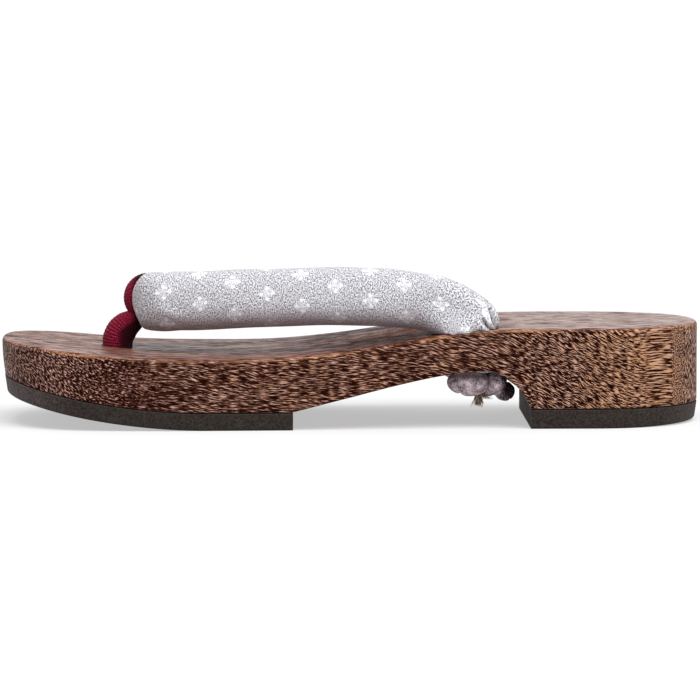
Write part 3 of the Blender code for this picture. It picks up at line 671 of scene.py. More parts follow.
def strap_cloth(colours, thread):
    """Fine crepe-woven cotton over wadding: salt and pepper threads, small white four-dot diamonds,
    painted shade down in the folds, and painted shade with a painted warm reflection of the wood on its
    underside."""
    thing, tree, shader = material("strap_cloth")
    u, v, _ = place_mm(tree, own=True)
    # threads 0.6 mm apart and specks of 0.4 by 0.6 mm, drawn coarser than the real 0.3 mm so that they show
    weave = weave_of(tree, u, v, thread / MM)
    speck = streaks(tree, u, v, 0.38, 0.60, rough=0.7)
    slub = streaks(tree, u, v, 0.8, 2.2, rough=0.6, offset=17.0)
    cloud = streaks(tree, u, v, 6.0, 5.0, rough=0.5, offset=29.0)
    tone = add(tree, "Math.MULTIPLY_ADD", speck, 0.92, add(tree, "Math.MULTIPLY", slub, 0.08))
    tone = add(tree, "Math.MULTIPLY_ADD", weave, 0.045, tone)
    cloth = add(tree, "ValToRGB", tone, table=[
        (0.38, colours.cloth_dark), (0.50, colours.cloth), (0.60, colours.cloth_light)])
    cloth = add(tree, "Mix", add(tree, "Math.MULTIPLY", cloud, 0.10), cloth, colours.cloth, **COLOUR)
    fuzz = add(tree, "Math.ADD", speck, add(tree, "Math.SUBTRACT", u, 0.5))
    mark = diamonds(tree, fuzz, v, MOTIF_PITCH, MOTIF_START, MOTIF_TILT, MOTIF_REACH, MOTIF_DOT)
    mark = add(tree, "Math.MULTIPLY", mark, add(tree, "Math.MULTIPLY_ADD", speck, 1.1, 0.28), use_clamp=True)
    cloth = add(tree, "Mix", mark, cloth, colours.motif, **COLOUR)
    upward = add(tree, "SeparateXYZ", add(tree, "NewGeometry", out="Normal")).node.outputs[2]
    # painted shade with a painted warm reflection of the wood, where the cloth faces down
    underside_shade = add(tree, "MapRange", upward, 0.25, -0.75, 0.0, 0.6, **SOFT)
    cloth = add(tree, "Mix", underside_shade, cloth, colours.underside_shade, **COLOUR)
    # painted shade down in the folds, from how deep each point lies in one
    fold = add(tree, "Math.MULTIPLY", add(tree, "Attribute", attribute_name="fold", out="Fac"), 0.90)
    cloth = add(tree, "Mix", fold, cloth, colours.fold, **COLOUR)
    height = add(tree, "Math.MULTIPLY_ADD", weave, 0.20, tone)
    height = add(tree, "Math.MULTIPLY_ADD", mark, 0.25, height)
    fill(tree, shader, Base_Color=cloth, Roughness=0.88, Sheen_Weight=0.22, Sheen_Roughness=0.5,
         Specular_IOR_Level=0.2, Normal=add(tree, "Bump", 0.8, 0.14 * MM, 0.1, height))
    return thing


# Spacing in mm of the knit's stitches, the tail knots' threads and the cord's threads
STITCH_MM = 0.7
TAIL_THREAD_MM = 0.55
CORD_THREAD_MM = 0.7


def rib_knit(colours, rib):
    """Ribbed cotton knit in dark crimson: matt, light on each rib's crown and near black between, and
    near black all over on the post's heel side, which is painted shade of the strap over it."""
    thing, tree, shader = material("rib_knit")
    x, _, z = place_mm(tree)
    u, v, _ = place_mm(tree, own=True)
    # ribs along the tube and stitches round it, at their real spacing
    crown = add(tree, "Math.SINE", add(tree, "Math.MULTIPLY", u, 2 * math.pi * MM / rib))
    stitch = add(tree, "Math.SINE", add(tree, "Math.MULTIPLY", v, 2 * math.pi / STITCH_MM))
    speck = streaks(tree, u, v, 0.5, 0.4, rough=0.7)
    tone = add(tree, "Math.MULTIPLY_ADD", crown, 0.07, add(tree, "Math.MULTIPLY_ADD", stitch, 0.05, 0.10))
    tone = add(tree, "Math.MULTIPLY_ADD", speck, 0.8, tone)
    base = add(tree, "ValToRGB", tone, table=[
        (0.25, colours.knit_dark), (0.50, colours.knit), (0.78, colours.knit_light)])
    # the painted shade's front edge lies near the post's middle and, from 5 mm over the foot bed up, slopes
    # back
    high = (foot_bed(FRONT_X) + 9 * MM) / MM
    middle = FRONT_X / MM
    edge = add(tree, "Math.MULTIPLY_ADD", add(tree, "MapRange", z, high - 4.0, high + 1.0, **SOFT), -5.0, x)
    post_shade = add(tree, "Math.MULTIPLY", add(tree, "MapRange", edge, middle - 0.9, middle + 2.0, **SOFT), 0.88)
    base = add(tree, "Mix", post_shade, base, colours.knit_dark, **COLOUR)
    fill(tree, shader, Base_Color=base, Roughness=0.85, Specular_IOR_Level=0.05, Sheen_Weight=0.05,
         Normal=add(tree, "Bump", 0.8, 0.2 * MM, 0.1, tone))
    return thing


def plain_cloth(name, dark, light, pitch, shade_span=None):
    """Plain-woven cloth: square threads of the given pitch in mm, drawn coarser than the real 0.3 mm so
    that they show, going dark between two places along x in mm, when these are given, with painted
    shade."""
    thing, tree, shader = material(name)
    x, _, _ = place_mm(tree)
    u, v, _ = place_mm(tree, own=True)
    weave = weave_of(tree, u, v, pitch)
    speck = streaks(tree, u, v, 0.5, 0.5, rough=0.7)
    blotch = streaks(tree, u, v, 2.6, 2.2, rough=0.6, offset=37.0)
    tone = add(tree, "Math.MULTIPLY_ADD", weave, 0.09, add(tree, "Math.MULTIPLY", speck, 0.55))
    tone = add(tree, "Math.MULTIPLY_ADD", blotch, 0.45, tone)
    if shade_span:
        # painted shade of the wood over the knot, between two places along x
        knot_shade = add(tree, "MapRange", x, *shade_span, **SOFT)
        tone = add(tree, "Math.MULTIPLY_ADD", knot_shade, -0.22, tone)
    base = add(tree, "ValToRGB", tone, table=[(0.35, dark), (0.64, light)])
    fill(tree, shader, Base_Color=base, Roughness=0.9, Specular_IOR_Level=0.1,
         Normal=add(tree, "Bump", 0.8, 0.15 * MM, 0.1, tone))
    return thing


def hemp_fibre(colours):
    """Retted hemp fibre: coarse, dry, light brown hairs with darker stretches."""
    thing, tree, shader = material("hemp_fibre")
    # colour changes along a hair about every 1.5 mm
    tone = add(tree, "TexNoise", add(tree, "TexCoord", out="Object"), 700.0, 2.0)
    base = add(tree, "ValToRGB", tone, table=[(0.35, colours.hemp_dark), (0.62, colours.hemp)])
    fill(tree, shader, Base_Color=base, Roughness=0.8)
    return thing


def grid_uv(along, around):
    """A grid's own UV map in mm: how far each point lies along it and around it."""
    return np.stack(np.broadcast_arrays(along, around), axis=-1)[None]


def base_rows(rim):
    """Rows of the foot bed and its soft rim, a quarter round."""
    rows = [(BED_BORDER, foot_bed, 0.0), (BED_BORDER * 0.5, foot_bed, 0.0), (rim * 2, foot_bed, 0.0)]
    for angle in np.linspace(0, math.pi / 2, 8):
        rows.append((rim * (1 - math.sin(angle)), foot_bed, rim * (1 - math.cos(angle))))
    return rows


def wooden_block(rim, wood):
    """The whole base: rim rows hang from the foot bed, side rows lean in as a power of their depth, and
    the lower edge is a quarter round on the underside."""
    x = stations(-LENGTH / 2, LENGTH / 2)
    lean = side_inset(x)
    edge = rim / 3
    rows = base_rows(rim)
    for down in np.linspace(0, 1, 11)[1:]:
        def side_height(at, down=down):
            top = foot_bed(at) - rim
            return top + (wood_under(at) + edge - top) * down
        rows.append((lean * down ** SIDE_CURVE, side_height, 0.0))
    for angle in np.linspace(0, math.pi / 2, 4)[1:]:
        rows.append((lean + edge * (1 - math.cos(angle)), wood_under, -edge * (1 - math.sin(angle))))
    rows.append((lean + rim * 2, wood_under, 0.0))
    points = block(x, rows, 14)
    arc = np.cumsum(np.hypot(np.gradient(x), np.gradient(half_width(x)))) / MM
    wide = points.shape[1]
    # the far side's grain is taken from elsewhere, so that it isn't the near side's mirror image
    far = np.arange(wide + 1) < wide // 2
    height = np.concatenate([points[:, :, 2], points[:, :1, 2]], axis=1) / MM
    uv = grid_uv(arc[:, None] + FAR_GRAIN_MM * far, height)
    return surface("geta_base", points[None], wood, uv, sharp=35)


def pad(name, start, end, edge, rubber, flat):
    """A rubber pad: flush with the wood above, leaning in, with a worn round lower edge."""
    x = stations(start, end)
    lean = side_inset(x)

    def top(at):
        return wood_under(at) - GAP
    top_border, low_border = PAD_BORDERS
    rows = [(lean + top_border, top, 0.0), (lean + PAD_CHAMFER, top, 0.0), (lean, top, PAD_CHAMFER)]
    for down in np.linspace(0, 1, 7)[1:]:
        def side_height(at, down=down):
            high = top(at) - PAD_CHAMFER
            return high + (tread(at) + edge - high) * down
        rows.append((lean + PAD_TAPER * down, side_height, 0.0))
    for angle in np.linspace(0, math.pi / 2, 6)[1:]:
        rows.append((lean + PAD_TAPER + edge * (1 - math.cos(angle)), tread, -edge * (1 - math.sin(angle))))
    rows.append((lean + low_border, tread, 0.0))
    return surface(name, block(x, rows, 12, flat)[None], rubber)


def ring(centre, tall_way, thick_way, tall, thick, fullness=2.0, steps=RING_STEPS):
    """A closed ring: an ellipse whose cosine and sine are flattened by its fullness."""
    angle = np.linspace(0, 2 * math.pi, steps, endpoint=False)[:, None]
    up = np.sign(np.cos(angle)) * np.abs(np.cos(angle)) ** (2 / fullness)
    out = np.sign(np.sin(angle)) * np.abs(np.sin(angle)) ** (2 / fullness)
    return np.asarray(centre) + up * tall * np.asarray(tall_way) + out * thick * np.asarray(thick_way)


def neck_height():
    """Height of the neck's middle over the floor."""
    return foot_bed(NECK_X) + NECK_RISE


def oval(centre, out, tall, thick, lean, full=STRAP_FULLNESS):
    """A ring of the strap: out points away from the foot, lean tips its top towards the foot."""
    lean = math.radians(lean)
    out = np.asarray(out)
    tall_way = UP * math.cos(lean) - out * math.sin(lean)
    thick_way = out * math.cos(lean) + UP * math.sin(lean)
    return ring(centre, tall_way, thick_way, tall * STRAP_TALL / 2, thick * STRAP_THICK / 2, full)


def leg_rings():
    """Rings of one leg from the neck's middle to the end of its tail, as in the solid strap."""
    rings = []
    for angle in np.radians(NECK_TURNS):
        room = LOOP_RADIUS - TUBE_RADIUS * math.cos(angle) - GAP
        rings.append(ring((NECK_X, TUBE_RADIUS * math.sin(angle), neck_height()), UP, (-1, 0, 0), room, room))
    centre = (NECK_X, TUBE_RADIUS + GAP, neck_height())
    rings.append(ring(centre, UP, (-1, 0, 0), LOOP_RADIUS, LOOP_RADIUS * NECK_SWELL))
    pivot = np.array([NECK_X + LOOP_RADIUS + FOLD_BACK, TUBE_RADIUS + 2 * GAP, neck_height() - FOLD_DOWN])
    for turn, tall, thick, lean, full in FRONT_BEND:
        out = np.array([-math.cos(math.radians(turn)), math.sin(math.radians(turn)), 0])
        rings.append(oval(pivot + out * (thick * STRAP_THICK / 2 + FOLD_ROUND), out, tall, thick, lean, full))
    rows = np.array(LEG)
    x = NECK_X + rows[:, 0] * (REAR_X - NECK_X)
    y = rows[:, 1] * rear_side()
    z = foot_bed(x) + STRAP_RISE * rows[:, 2]
    turn = np.arctan2(np.gradient(y), np.gradient(x))
    for i, (_, _, _, tall, thick, lean) in enumerate(rows):
        out = (-math.sin(turn[i]), math.cos(turn[i]), 0)
        rings.append(oval((x[i], y[i], z[i]), out, tall, thick, lean))
    return np.array(rings + rear_rings())


def rear_rings():
    """Rings that turn down about a point on the foot bed, then the tail through the rear hole."""
    rings = []
    side = rear_side()
    turn_x = REAR_X - REAR_BEND
    floor = foot_bed(turn_x) + SEAT
    upper = np.cos(np.linspace(0, 2 * math.pi, RING_STEPS, endpoint=False)) > 0
    fullness = np.where(upper, REAR_FULLNESS, LYING_FULLNESS)[:, None]
    for pitch, tall, thick in REAR_ROWS:
        pitch = math.radians(pitch)
        way = np.array([math.sin(pitch), 0, math.cos(pitch)])
        tall = tall * STRAP_TALL / 2
        centre = np.array([turn_x, side, floor]) + way * (tall + GAP)
        points = ring(centre, way, (0, 1, 0), tall, thick * REAR_THICK / 2, fullness)
        low = np.clip((centre[2] - points[:, 2]) / tall, 0, 1)
        points[:, 1] += np.where(points[:, 1] > side, REAR_SPREAD * low, 0)
        points[:, 2] -= REAR_SAG * low
        rings.append(points)
    for height in (foot_bed(REAR_X) + SEAT, wood_under(REAR_X)):
        rings.append(ring((REAR_X, side, height), (1, 0, 0), (0, 1, 0), TAIL_WIDTH / 2, TAIL_WIDTH / 2))
    return rings


def flow(rings, count):
    """Many rings from few, closer towards the end: a cubic through each point's own places, by share of
    the middle's length."""
    middle = rings.mean(axis=1)
    length = np.concatenate([[0], np.cumsum(np.linalg.norm(np.diff(middle, axis=0), axis=1))])
    at = length[-1] * (1 - (1 - np.linspace(0, 1, count)) ** DENSER)
    slope = np.gradient(rings, length, axis=0)
    i = np.clip(np.searchsorted(length, at, side="right") - 1, 0, len(length) - 2)
    gap = (length[i + 1] - length[i])[:, None, None]
    t = ((at - length[i]) / gap[:, 0, 0])[:, None, None]
    a, b = rings[i], rings[i + 1]
    first, second = slope[i] * gap, slope[i + 1] * gap
    bulge = (1 - t) * (first - (b - a)) - t * (second - (b - a))
    return a + t * (b - a) + t * (1 - t) * bulge, at


def grid_normals(points):
    """Unit normals of a grid closed across its columns: the cross product of its two slopes, outwards."""
    along = np.gradient(points, axis=0)
    around = np.roll(points, -1, axis=1) - np.roll(points, 1, axis=1)
    normal = np.cross(around, along)
    normal *= np.sign(np.sum(normal * (points - points.mean(axis=1, keepdims=True))))
    size = np.linalg.norm(normal, axis=2, keepdims=True)
    return normal / np.maximum(size, 1e-12)


def away(points, start, end):
    """Distance from each point to the line from start to end, and how far along it the nearest place is."""
    line = np.asarray(end) - np.asarray(start)
    share = np.clip(((points - start) @ line) / (line @ line), 0, 1)
    return np.linalg.norm(points - start - share[..., None] * line, axis=-1), share


def creased(points, side, share):
    """The strap's folds, seen from the leg's outer and inner side: each is a trough with a
    soft ridge along both its edges. Puckers at the pinched neck and slow dents of the wadding follow.
    Also gives how deep each point lies in a fold, from 0 to 1, for the cloth's painted shade."""
    normal = grid_normals(points)
    depth = np.zeros(points.shape[:2])
    place = (points[..., ::2] - np.array([REAR_X, foot_bed(REAR_X)])) / MM
    facing = np.clip(normal[..., 1] * side * 2, -1, 1)
    for outer, start, end, width, deep, ridge in REAR_CREASES:
        far, along = away(place, np.array(start), np.array(end))
        far = far / width
        shape = -np.exp(-far ** 2) + ridge * np.exp(-(far - RIDGE_PLACE) ** 2 / 1.4)
        # each crease is shallower towards its two ends
        ends = np.sin(math.pi * np.clip(0.12 + 0.76 * along, 0, 1))
        depth += share * deep * shape * np.clip(facing * outer, 0, 1) * ends
    # how deep each point lies in a fold, for the cloth's painted shade
    fold = np.clip(-depth / FOLD_DARK, 0, 1) ** 1.5
    x = points[..., 0] / MM
    neck = np.exp(-((x - NECK_X / MM - PUCKER_BACK) / PUCKER_LONG) ** 2)
    angle = np.linspace(0, 2 * math.pi, points.shape[1], endpoint=False)
    depth += PUCKER_DEPTH * neck * np.sin(PUCKERS * angle + 0.4 * x)
    depth += DENT_DEPTH * np.sin(0.19 * x + 2 * angle) * np.sin(angle + 0.07 * x)
    return points + normal * (depth * MM)[..., None], fold


def settled(rings):
    """The right leg's rings: each height over the foot bed falls by its share in the table, but not at
    the neck, where it eases in, nor in the tail."""
    key, value = np.array(RIGHT_SETTLE).T
    share = np.interp(rings[:, :, 0] / MM, key, value)
    share[:4] = 0
    share[4:7] *= np.linspace(0, 1, 5)[1:-1, None]
    share[-2:] = 0
    bed = foot_bed(rings[:, :, 0]) + SEAT
    lower = rings.copy()
    lower[:, :, 2] = bed + (rings[:, :, 2] - bed) * (1 - share)
    return lower


def laid(points, at, side, rim):
    """A leg as it lies on the wood: its lower outer wall bulges out beside the hole, and all but its tail
    stays over the foot bed or hangs a little over the rim's round."""
    x, y, z = np.moveaxis(points, -1, 0)
    near = np.exp(-((x - BULGE_X) / BULGE_LONG) ** 4)
    low = np.clip(1 - (z - foot_bed(x)) / BULGE_TALL, 0, 1)
    outer = np.clip((y * side - rear_side()) / BULGE_TALL, 0, 1)
    points = points + (near * low * outer)[..., None] * np.array([0, side * BULGE, -BULGE_SAG])
    x, y, z = np.moveaxis(points, -1, 0)
    over = np.clip((np.abs(y) - half_width(x)) / rim + 1, 0, 1)
    floor = foot_bed(x) + SEAT - rim * (1 - np.sqrt(1 - over ** 2))
    above = (x < REAR_X + REAR_REACH) & (at < at[-1] - TAIL_LENGTH)[:, None]
    points[..., 2] = np.where(above, np.maximum(z, floor), z)
    return points


def turned_back(grid):
    """The same closed rows from the same first column, run the other way round."""
    return np.roll(grid[:, ::-1], 1, axis=1)


def padded_v(sizes, cloth):
    """Both legs as one closed bag. They share the neck's middle ring, and their rings run the same way
    round. The cloth is measured round each ring from its outer side's middle, to stay level there."""
    rings = leg_rings()
    legs = []
    for side, shape in ((-1, rings), (1, settled(rings))):
        points, at = flow(shape * np.array([1, side, 1]), sizes.strap_rings)
        if side < 0:
            points = turned_back(points)
        points, fold = creased(points, side, sizes.crease)
        legs.append((laid(points, at, side, sizes.rim), fold, at / MM))
    (left, left_fold, left_at), (right, right_fold, right_at) = legs
    points = np.concatenate([turned_back(left)[:0:-1], right])
    fold = np.concatenate([turned_back(left_fold)[:0:-1], right_fold])
    along = np.concatenate([-left_at[:0:-1], right_at])
    closed = np.concatenate([points, points[:, :1]], axis=1)
    around = np.cumsum(np.linalg.norm(np.diff(closed, axis=1), axis=2), axis=1) / MM
    around = np.concatenate([np.zeros((len(points), 1)), around], axis=1)
    quarter = RING_STEPS // 4
    around -= around[:, quarter:quarter + 1]
    uv = grid_uv(along[:, None], -around)
    return surface("geta_strap", points[None], cloth, uv, sharp=0, fold=fold)


def loop_centre():
    """Middle of the toe loop, on the neck's own middle."""
    return np.array([NECK_X, 0, neck_height()])


def knit_loop(rib, knit):
    """A tube round the neck. Its radius swells by a cosine at each rib and a finer one at each stitch."""
    around, steps = 240, KNIT_STEPS
    angle = np.linspace(0, 2 * math.pi, around, endpoint=False)[:, None, None]
    tube = np.linspace(0, 2 * math.pi, steps, endpoint=False)[None, :, None]
    way = np.concatenate([np.cos(angle), 0 * angle, np.sin(angle)], axis=2)
    ribs = round(2 * math.pi * LOOP_RADIUS / rib)
    radius = TUBE_RADIUS - 0.05 * MM + 0.045 * MM * np.cos(ribs * angle) + 0.03 * MM * np.cos(16 * tube)
    points = loop_centre() + way * (LOOP_RADIUS + radius * np.cos(tube))
    points = points + np.array([0, 1, 0]) * radius * np.sin(tube)
    uv = grid_uv(np.linspace(0, ribs * rib / MM, around + 1)[:, None],
                 np.linspace(0, 2 * math.pi * TUBE_RADIUS / MM, steps + 1))
    return surface("geta_toe_loop", points[None], knit, uv, closed_rows=True, sharp=0)


def toe_post(rib, knit):
    """Rings from the pocket's roof up to the loop, tipping towards it. Each point's distance from the
    middle swells by a cosine at each rib and a finer one at each stitch."""
    steps = KNIT_STEPS
    foot = np.array([FRONT_X, 0, foot_bed(FRONT_X)])
    joint = loop_centre() + LOOP_RADIUS * np.array([math.cos(LOOP_JOINT), 0, math.sin(LOOP_JOINT)])
    half = POST_WIDTH / 2
    low = (FRONT_X, 0, wood_under(FRONT_X) + POCKET_DEPTH)
    rings = [ring(low, (1, 0, 0), (0, 1, 0), half, half, 2, steps)]
    for ahead, up, wide, deep, tip in POST:
        place = foot + (joint - foot) * (ahead, 0, up)
        lean = (math.cos(math.radians(tip)), 0, -math.sin(math.radians(tip)))
        rings.append(ring(place, lean, (0, 1, 0), wide * half, deep * half, 2, steps))
    points, at = flow(np.array(rings), 200)
    middle = points.mean(axis=1, keepdims=True)
    turn = np.linspace(0, 2 * math.pi, steps, endpoint=False)
    swell = 0.05 * MM * np.cos(2 * math.pi * at / rib)[:, None] + 0.04 * MM * np.cos(24 * turn)[None, :]
    arm = points - middle
    arm_length = np.linalg.norm(arm, axis=2, keepdims=True)
    points = middle + arm * (1 + (swell[..., None] - 0.06 * MM) / arm_length)
    uv = grid_uv((at / MM)[:, None], np.linspace(0, 2 * math.pi * half / MM, steps + 1))
    return surface("geta_toe_post", points[None], knit, uv, sharp=60)


def lobe(name, centre, half, turn, waist, cloth, folds):
    """A lobe of gathered cloth: an ellipsoid with its poles along x, its surface drawn into folds that
    twist from pole to pole, r = 1 + depth times the cosine of folds round it, less a slanting crease
    round its waist. What would reach into the wood is pressed flat under it."""
    rows, steps = 60, 96
    polar = np.linspace(0, math.pi, rows)[:, None]
    angle = np.linspace(0, 2 * math.pi, steps, endpoint=False)[None, :]
    fold = np.cos(folds * angle + 2.2 * polar) + 0.5 * np.cos((folds + 2) * angle - 1.4 * polar + 1)
    crease = np.exp(-((np.cos(polar) - waist + 0.16 * np.sin(angle)) / 0.10) ** 2)
    radius = 1 + 0.03 * fold * np.sin(polar) ** 0.5 - 0.13 * crease
    points = np.zeros((1, rows, steps, 3))
    points[0, :, :, 0] = np.cos(polar) * half[0] * (1 + 0 * angle)
    points[0, :, :, 1] = radius * np.sin(polar) * np.cos(angle) * half[1]
    points[0, :, :, 2] = radius * np.sin(polar) * np.sin(angle) * half[2]
    c, s = math.cos(math.radians(turn)), math.sin(math.radians(turn))
    points = points @ np.array([[c, s, 0], [-s, c, 0], [0, 0, 1]]) + centre
    points[..., 2] = np.minimum(points[..., 2], wood_under(points[..., 0]) - GAP)
    uv = grid_uv(np.linspace(0, math.pi * half[0] / MM, rows)[:, None],
                 np.linspace(0, 2 * math.pi * half[2] / MM, steps + 1))
    return surface(name, points, cloth, uv, sharp=0)


def tail_knot(name, side, cloth):
    """A knotted tail in the arch: lobes of gathered cloth under the rear hole, fused."""
    hole = np.array([REAR_X, side * rear_side(), wood_under(REAR_X) - GAP])
    lobes = []
    for number, (along, outwards, down, long, wide, deep, turn, waist) in enumerate(TAIL_LOBES):
        centre = hole + np.array([along, side * outwards, -down]) * MM
        half = np.array([long, wide, deep]) * MM
        lobes.append(lobe(f"{name}_{number}", centre, half, side * turn, waist, cloth, 5 + number))
    combine(lobes[0], lobes[1:], "UNION", 50)
    lobes[0].name = name
    return lobes[0]


def overhand_knot(name, cord):
    """A cord of three twisted strands along x = sin t + 2 sin 2t, y = cos t - 2 cos 2t, z = -0.95 sin 3t,
    as wide as the pocket allows and hanging from its roof."""
    rows, steps = 220, 40
    # the knot's outer reach and its height over its middle, with the cord's thickness, in its own units
    reach, over = 3.95, 1.9
    t = np.linspace(0, 2 * math.pi, rows, endpoint=False)
    unit = (POCKET_WIDTH / 2 - KNOT_PLAY) / reach
    roof = wood_under(FRONT_X) + POCKET_DEPTH
    path = np.stack([
        np.sin(t) + 2 * np.sin(2 * t), np.cos(t) - 2 * np.cos(2 * t), -0.95 * np.sin(3 * t)], axis=1)
    path = path * unit + np.array([FRONT_X, 0, roof - GAP - over * unit])
    way = np.roll(path, -1, axis=0) - np.roll(path, 1, axis=0)
    way /= np.linalg.norm(way, axis=1, keepdims=True)
    flat = np.cross(way, UP)
    flat /= np.linalg.norm(flat, axis=1, keepdims=True)
    rise = np.cross(flat, way)
    angle = np.linspace(0, 2 * math.pi, steps, endpoint=False)
    strand = 0.92 * unit * (1 + 0.07 * np.cos(3 * angle[None, :] - 30 * t[:, None]))
    points = (path[:, None] + flat[:, None] * (strand * np.cos(angle))[..., None]
              + rise[:, None] * (strand * np.sin(angle))[..., None])
    # the cord is 65 mm long and 13 mm round, and its threads are drawn a little longer than they are wide
    uv = grid_uv(np.linspace(0, 60, rows + 1)[:, None], np.linspace(0, 13, steps + 1))
    return surface(name, points[None], cord, uv, closed_rows=True, sharp=0)


def frayed_end(name, side, solid, sizes, fibre):
    """Loose hairs of a cord's end. They start in a 1.6 mm bundle and spread as they fall, and the last
    sixth trail towards the heel. A hair's path is its chord plus a bow, and both its ends are points."""
    low, high = (np.array(corner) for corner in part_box(solid))
    dice = np.random.default_rng(HEMP_SEED + side)
    hairs = sizes.hemp_hairs
    start = np.array([low[0] + 2.6 * MM, side * rear_side(), high[2] + 0.4 * MM])
    root = start + dice.normal(0, 1, (hairs, 3)) * np.array([0.55, 0.5, 0.15]) * MM
    reach = dice.uniform(0.55, 1.0, hairs)
    trail = np.arange(hairs) >= hairs * 5 // 6
    end = root + np.stack([
        np.where(trail, 4.6 * MM * reach, dice.normal(-0.2, 0.75, hairs) * MM),
        dice.normal(0, 0.5, hairs) * MM,
        np.where(trail, -2.0 * MM, -(high[2] - low[2] - 0.2 * MM) * reach)], axis=1)
    bow = dice.normal(0, 0.5, (hairs, 3)) * MM
    t = np.linspace(0, 1, 9)[None, :, None]
    path = root[:, None] + (end - root)[:, None] * t + bow[:, None] * np.sin(math.pi * t) * t
    path[..., 0] += np.sin(5 * t + np.arange(hairs)[:, None, None])[..., 0] * 0.12 * MM
    thick = sizes.hemp_thick / 2 * dice.uniform(0.7, 1.3, hairs)[:, None, None]
    thick = (thick * (1 - 0.6 * t))[..., None]
    thick[:, [0, -1]] = 0
    angle = np.linspace(0, 2 * math.pi, 6, endpoint=False)
    circle = np.stack([np.cos(angle), np.sin(angle), 0 * angle], axis=1)
    return surface(name, path[:, :, None] + circle[None, None] * thick, fibre, sharp=0)


class GetaSizes(bpy.types.PropertyGroup):
    """Sizes that a maker would change."""
    rim: bpy.props.FloatProperty(
        name="Rim", description="Radius of the soft edge round the foot bed", default=1.5 * MM,
        unit="LENGTH")
    tread_edge: bpy.props.FloatProperty(
        name="Tread edge", description="Radius of the treads' worn lower edge", default=1.0 * MM,
        unit="LENGTH")
    strap_rings: bpy.props.IntProperty(
        name="Strap rings", description="Sections along each leg of the strap", default=300, min=40)
    crease: bpy.props.FloatProperty(
        name="Creases", description="Share of the strap creases' full depth", default=1.0, subtype="FACTOR",
        min=0.0, max=1.0)
    thread: bpy.props.FloatProperty(
        name="Thread", description="Spacing of the strap cloth's threads", default=0.62 * MM, unit="LENGTH")
    rib: bpy.props.FloatProperty(
        name="Rib", description="Spacing of the knit's ribs", default=0.85 * MM, unit="LENGTH")
    hemp_hairs: bpy.props.IntProperty(
        name="Hemp hairs", description="Hairs in each frayed cord end", default=150, min=5)
    hemp_thick: bpy.props.FloatProperty(
        name="Hemp thickness", description="Thickness of a hair at its root", default=0.3 * MM, unit="LENGTH")


def colour(name, description, hex_colour):
    """A colour property whose default is given as sRGB hex."""
    return bpy.props.FloatVectorProperty(
        name=name, description=description, default=linear(hex_colour), subtype="COLOR", min=0, max=1)


class GetaColours(bpy.types.PropertyGroup):
    """Colours that a maker would change."""
    pore: colour("Pore", "Darkest pores of the wood's sides", "160200")
    dark: colour("Dark wood", "Dark ground of the wood's sides", "2A0E06")
    mid: colour("Middle wood", "Middle tone of the wood's sides", "4A2A21")
    tan: colour("Tan fleck", "Flecks of the wood's sides", "77554C")
    gold: colour("Light fleck", "Lightest flecks of the wood's sides", "B29187")
    honey: colour("Honey", "Warm tint over the lighter wood", "FFEFC4")
    # painted warm highlight on the rim's round
    rim: colour("Worn rim", "Warm worn edge round the foot bed", "A06C44")
    bed_dark: colour("Dark streak", "Dark streaks of the foot bed", "33190F")
    bed_mid: colour("Foot bed", "Middle tone of the foot bed", "5C3A31")
    bed_light: colour("Light streak", "Light streaks of the foot bed", "8B6457")
    rubber: colour("Rubber", "Moulded charcoal rubber", "312E2A")
    # also the painted sheen that grows towards the treads' ends
    rubber_pale: colour("Scuffed rubber", "Rubber where it is scuffed", "6B6060")
    cloth_dark: colour("Dark threads", "Dark threads of the strap", "4C4A50")
    cloth: colour("Strap cloth", "Middle grey of the strap", "A5A4A9")
    cloth_light: colour("Light threads", "Light threads of the strap", "DBDADF")
    motif: colour("Motif", "White dots of the strap", "F0F0F4")
    # painted shade with a painted warm reflection of the wood, on the strap's underside
    underside_shade: colour("Rubbed cloth", "Warm grey under the strap, where it rubs the foot bed", "81696E")
    # painted shade down in the strap's folds
    fold: colour("Fold", "Soiled cloth down in the strap's folds", "1C1719")
    knit_dark: colour("Dark knit", "Between the ribs of the toe loop", "160107")
    knit: colour("Knit", "Crimson of the toe loop", "63081F")
    knit_light: colour("Light knit", "Crown of the toe loop's ribs", "A03050")
    tail_dark: colour("Dark tail cloth", "Dark threads of the tail knots", "2C2024")
    tail_light: colour("Light tail cloth", "Light threads of the tail knots", "CDBBC2")
    cord_dark: colour("Dark cord", "Shaded twist of the toe knot's cord", "5B4A38")
    cord_light: colour("Light cord", "Crown of the toe knot's cord", "A08A6C")
    hemp_dark: colour("Dark hemp", "Darker stretches of the hemp", "4A3A2C")
    hemp: colour("Hemp", "Retted hemp fibre", "A08C74")
    floor: colour("Floor", "Opal acrylic of the pale floor", "969696")


def dress(thing, slot, *nodes):
    """The piece rides on the one body and stands for its solids; the slot is not used."""
    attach(thing, "root")
    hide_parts(*nodes)


class GETA_OT_base(bpy.types.Operator):
    """Make the wooden base with its holes."""
    bl_idname = "geta.base"
    bl_label = "Wooden Base"

    def execute(self, context):
        wood = figured_hardwood(context.scene.geta_colours)
        base = wooden_block(context.scene.geta_sizes.rim, wood)
        roof = wood_under(FRONT_X) + POCKET_DEPTH
        # cutters reach far over the wood
        high = LENGTH
        bore = (POST_WIDTH + 2 * GAP) / 2
        wide = POCKET_WIDTH / 2
        bed = foot_bed(FRONT_X)
        cutters = [
            turned("front_hole", [
                (0, roof - MM), (bore, roof - MM), (bore, bed - HOLE_FLARE), (bore + HOLE_FLARE, bed),
                (bore + HOLE_FLARE, high), (0, high)], (FRONT_X, 0), wood),
            turned("knot_pocket", [
                (0, 0), (wide, 0), (wide, roof - MM), (wide - MM, roof), (0, roof)], (FRONT_X, 0), wood),
        ]
        for side in (-1, 1):
            radius = REAR_BORE / 2
            cutters.append(turned("rear_hole_" + str(side), [(0, 0), (radius, 0), (radius, high), (0, high)],
                                  (REAR_X, side * rear_side()), wood))
        combine(base, cutters, "DIFFERENCE", 35)
        dress(base, "hardwood", "wooden_base")
        return {"FINISHED"}


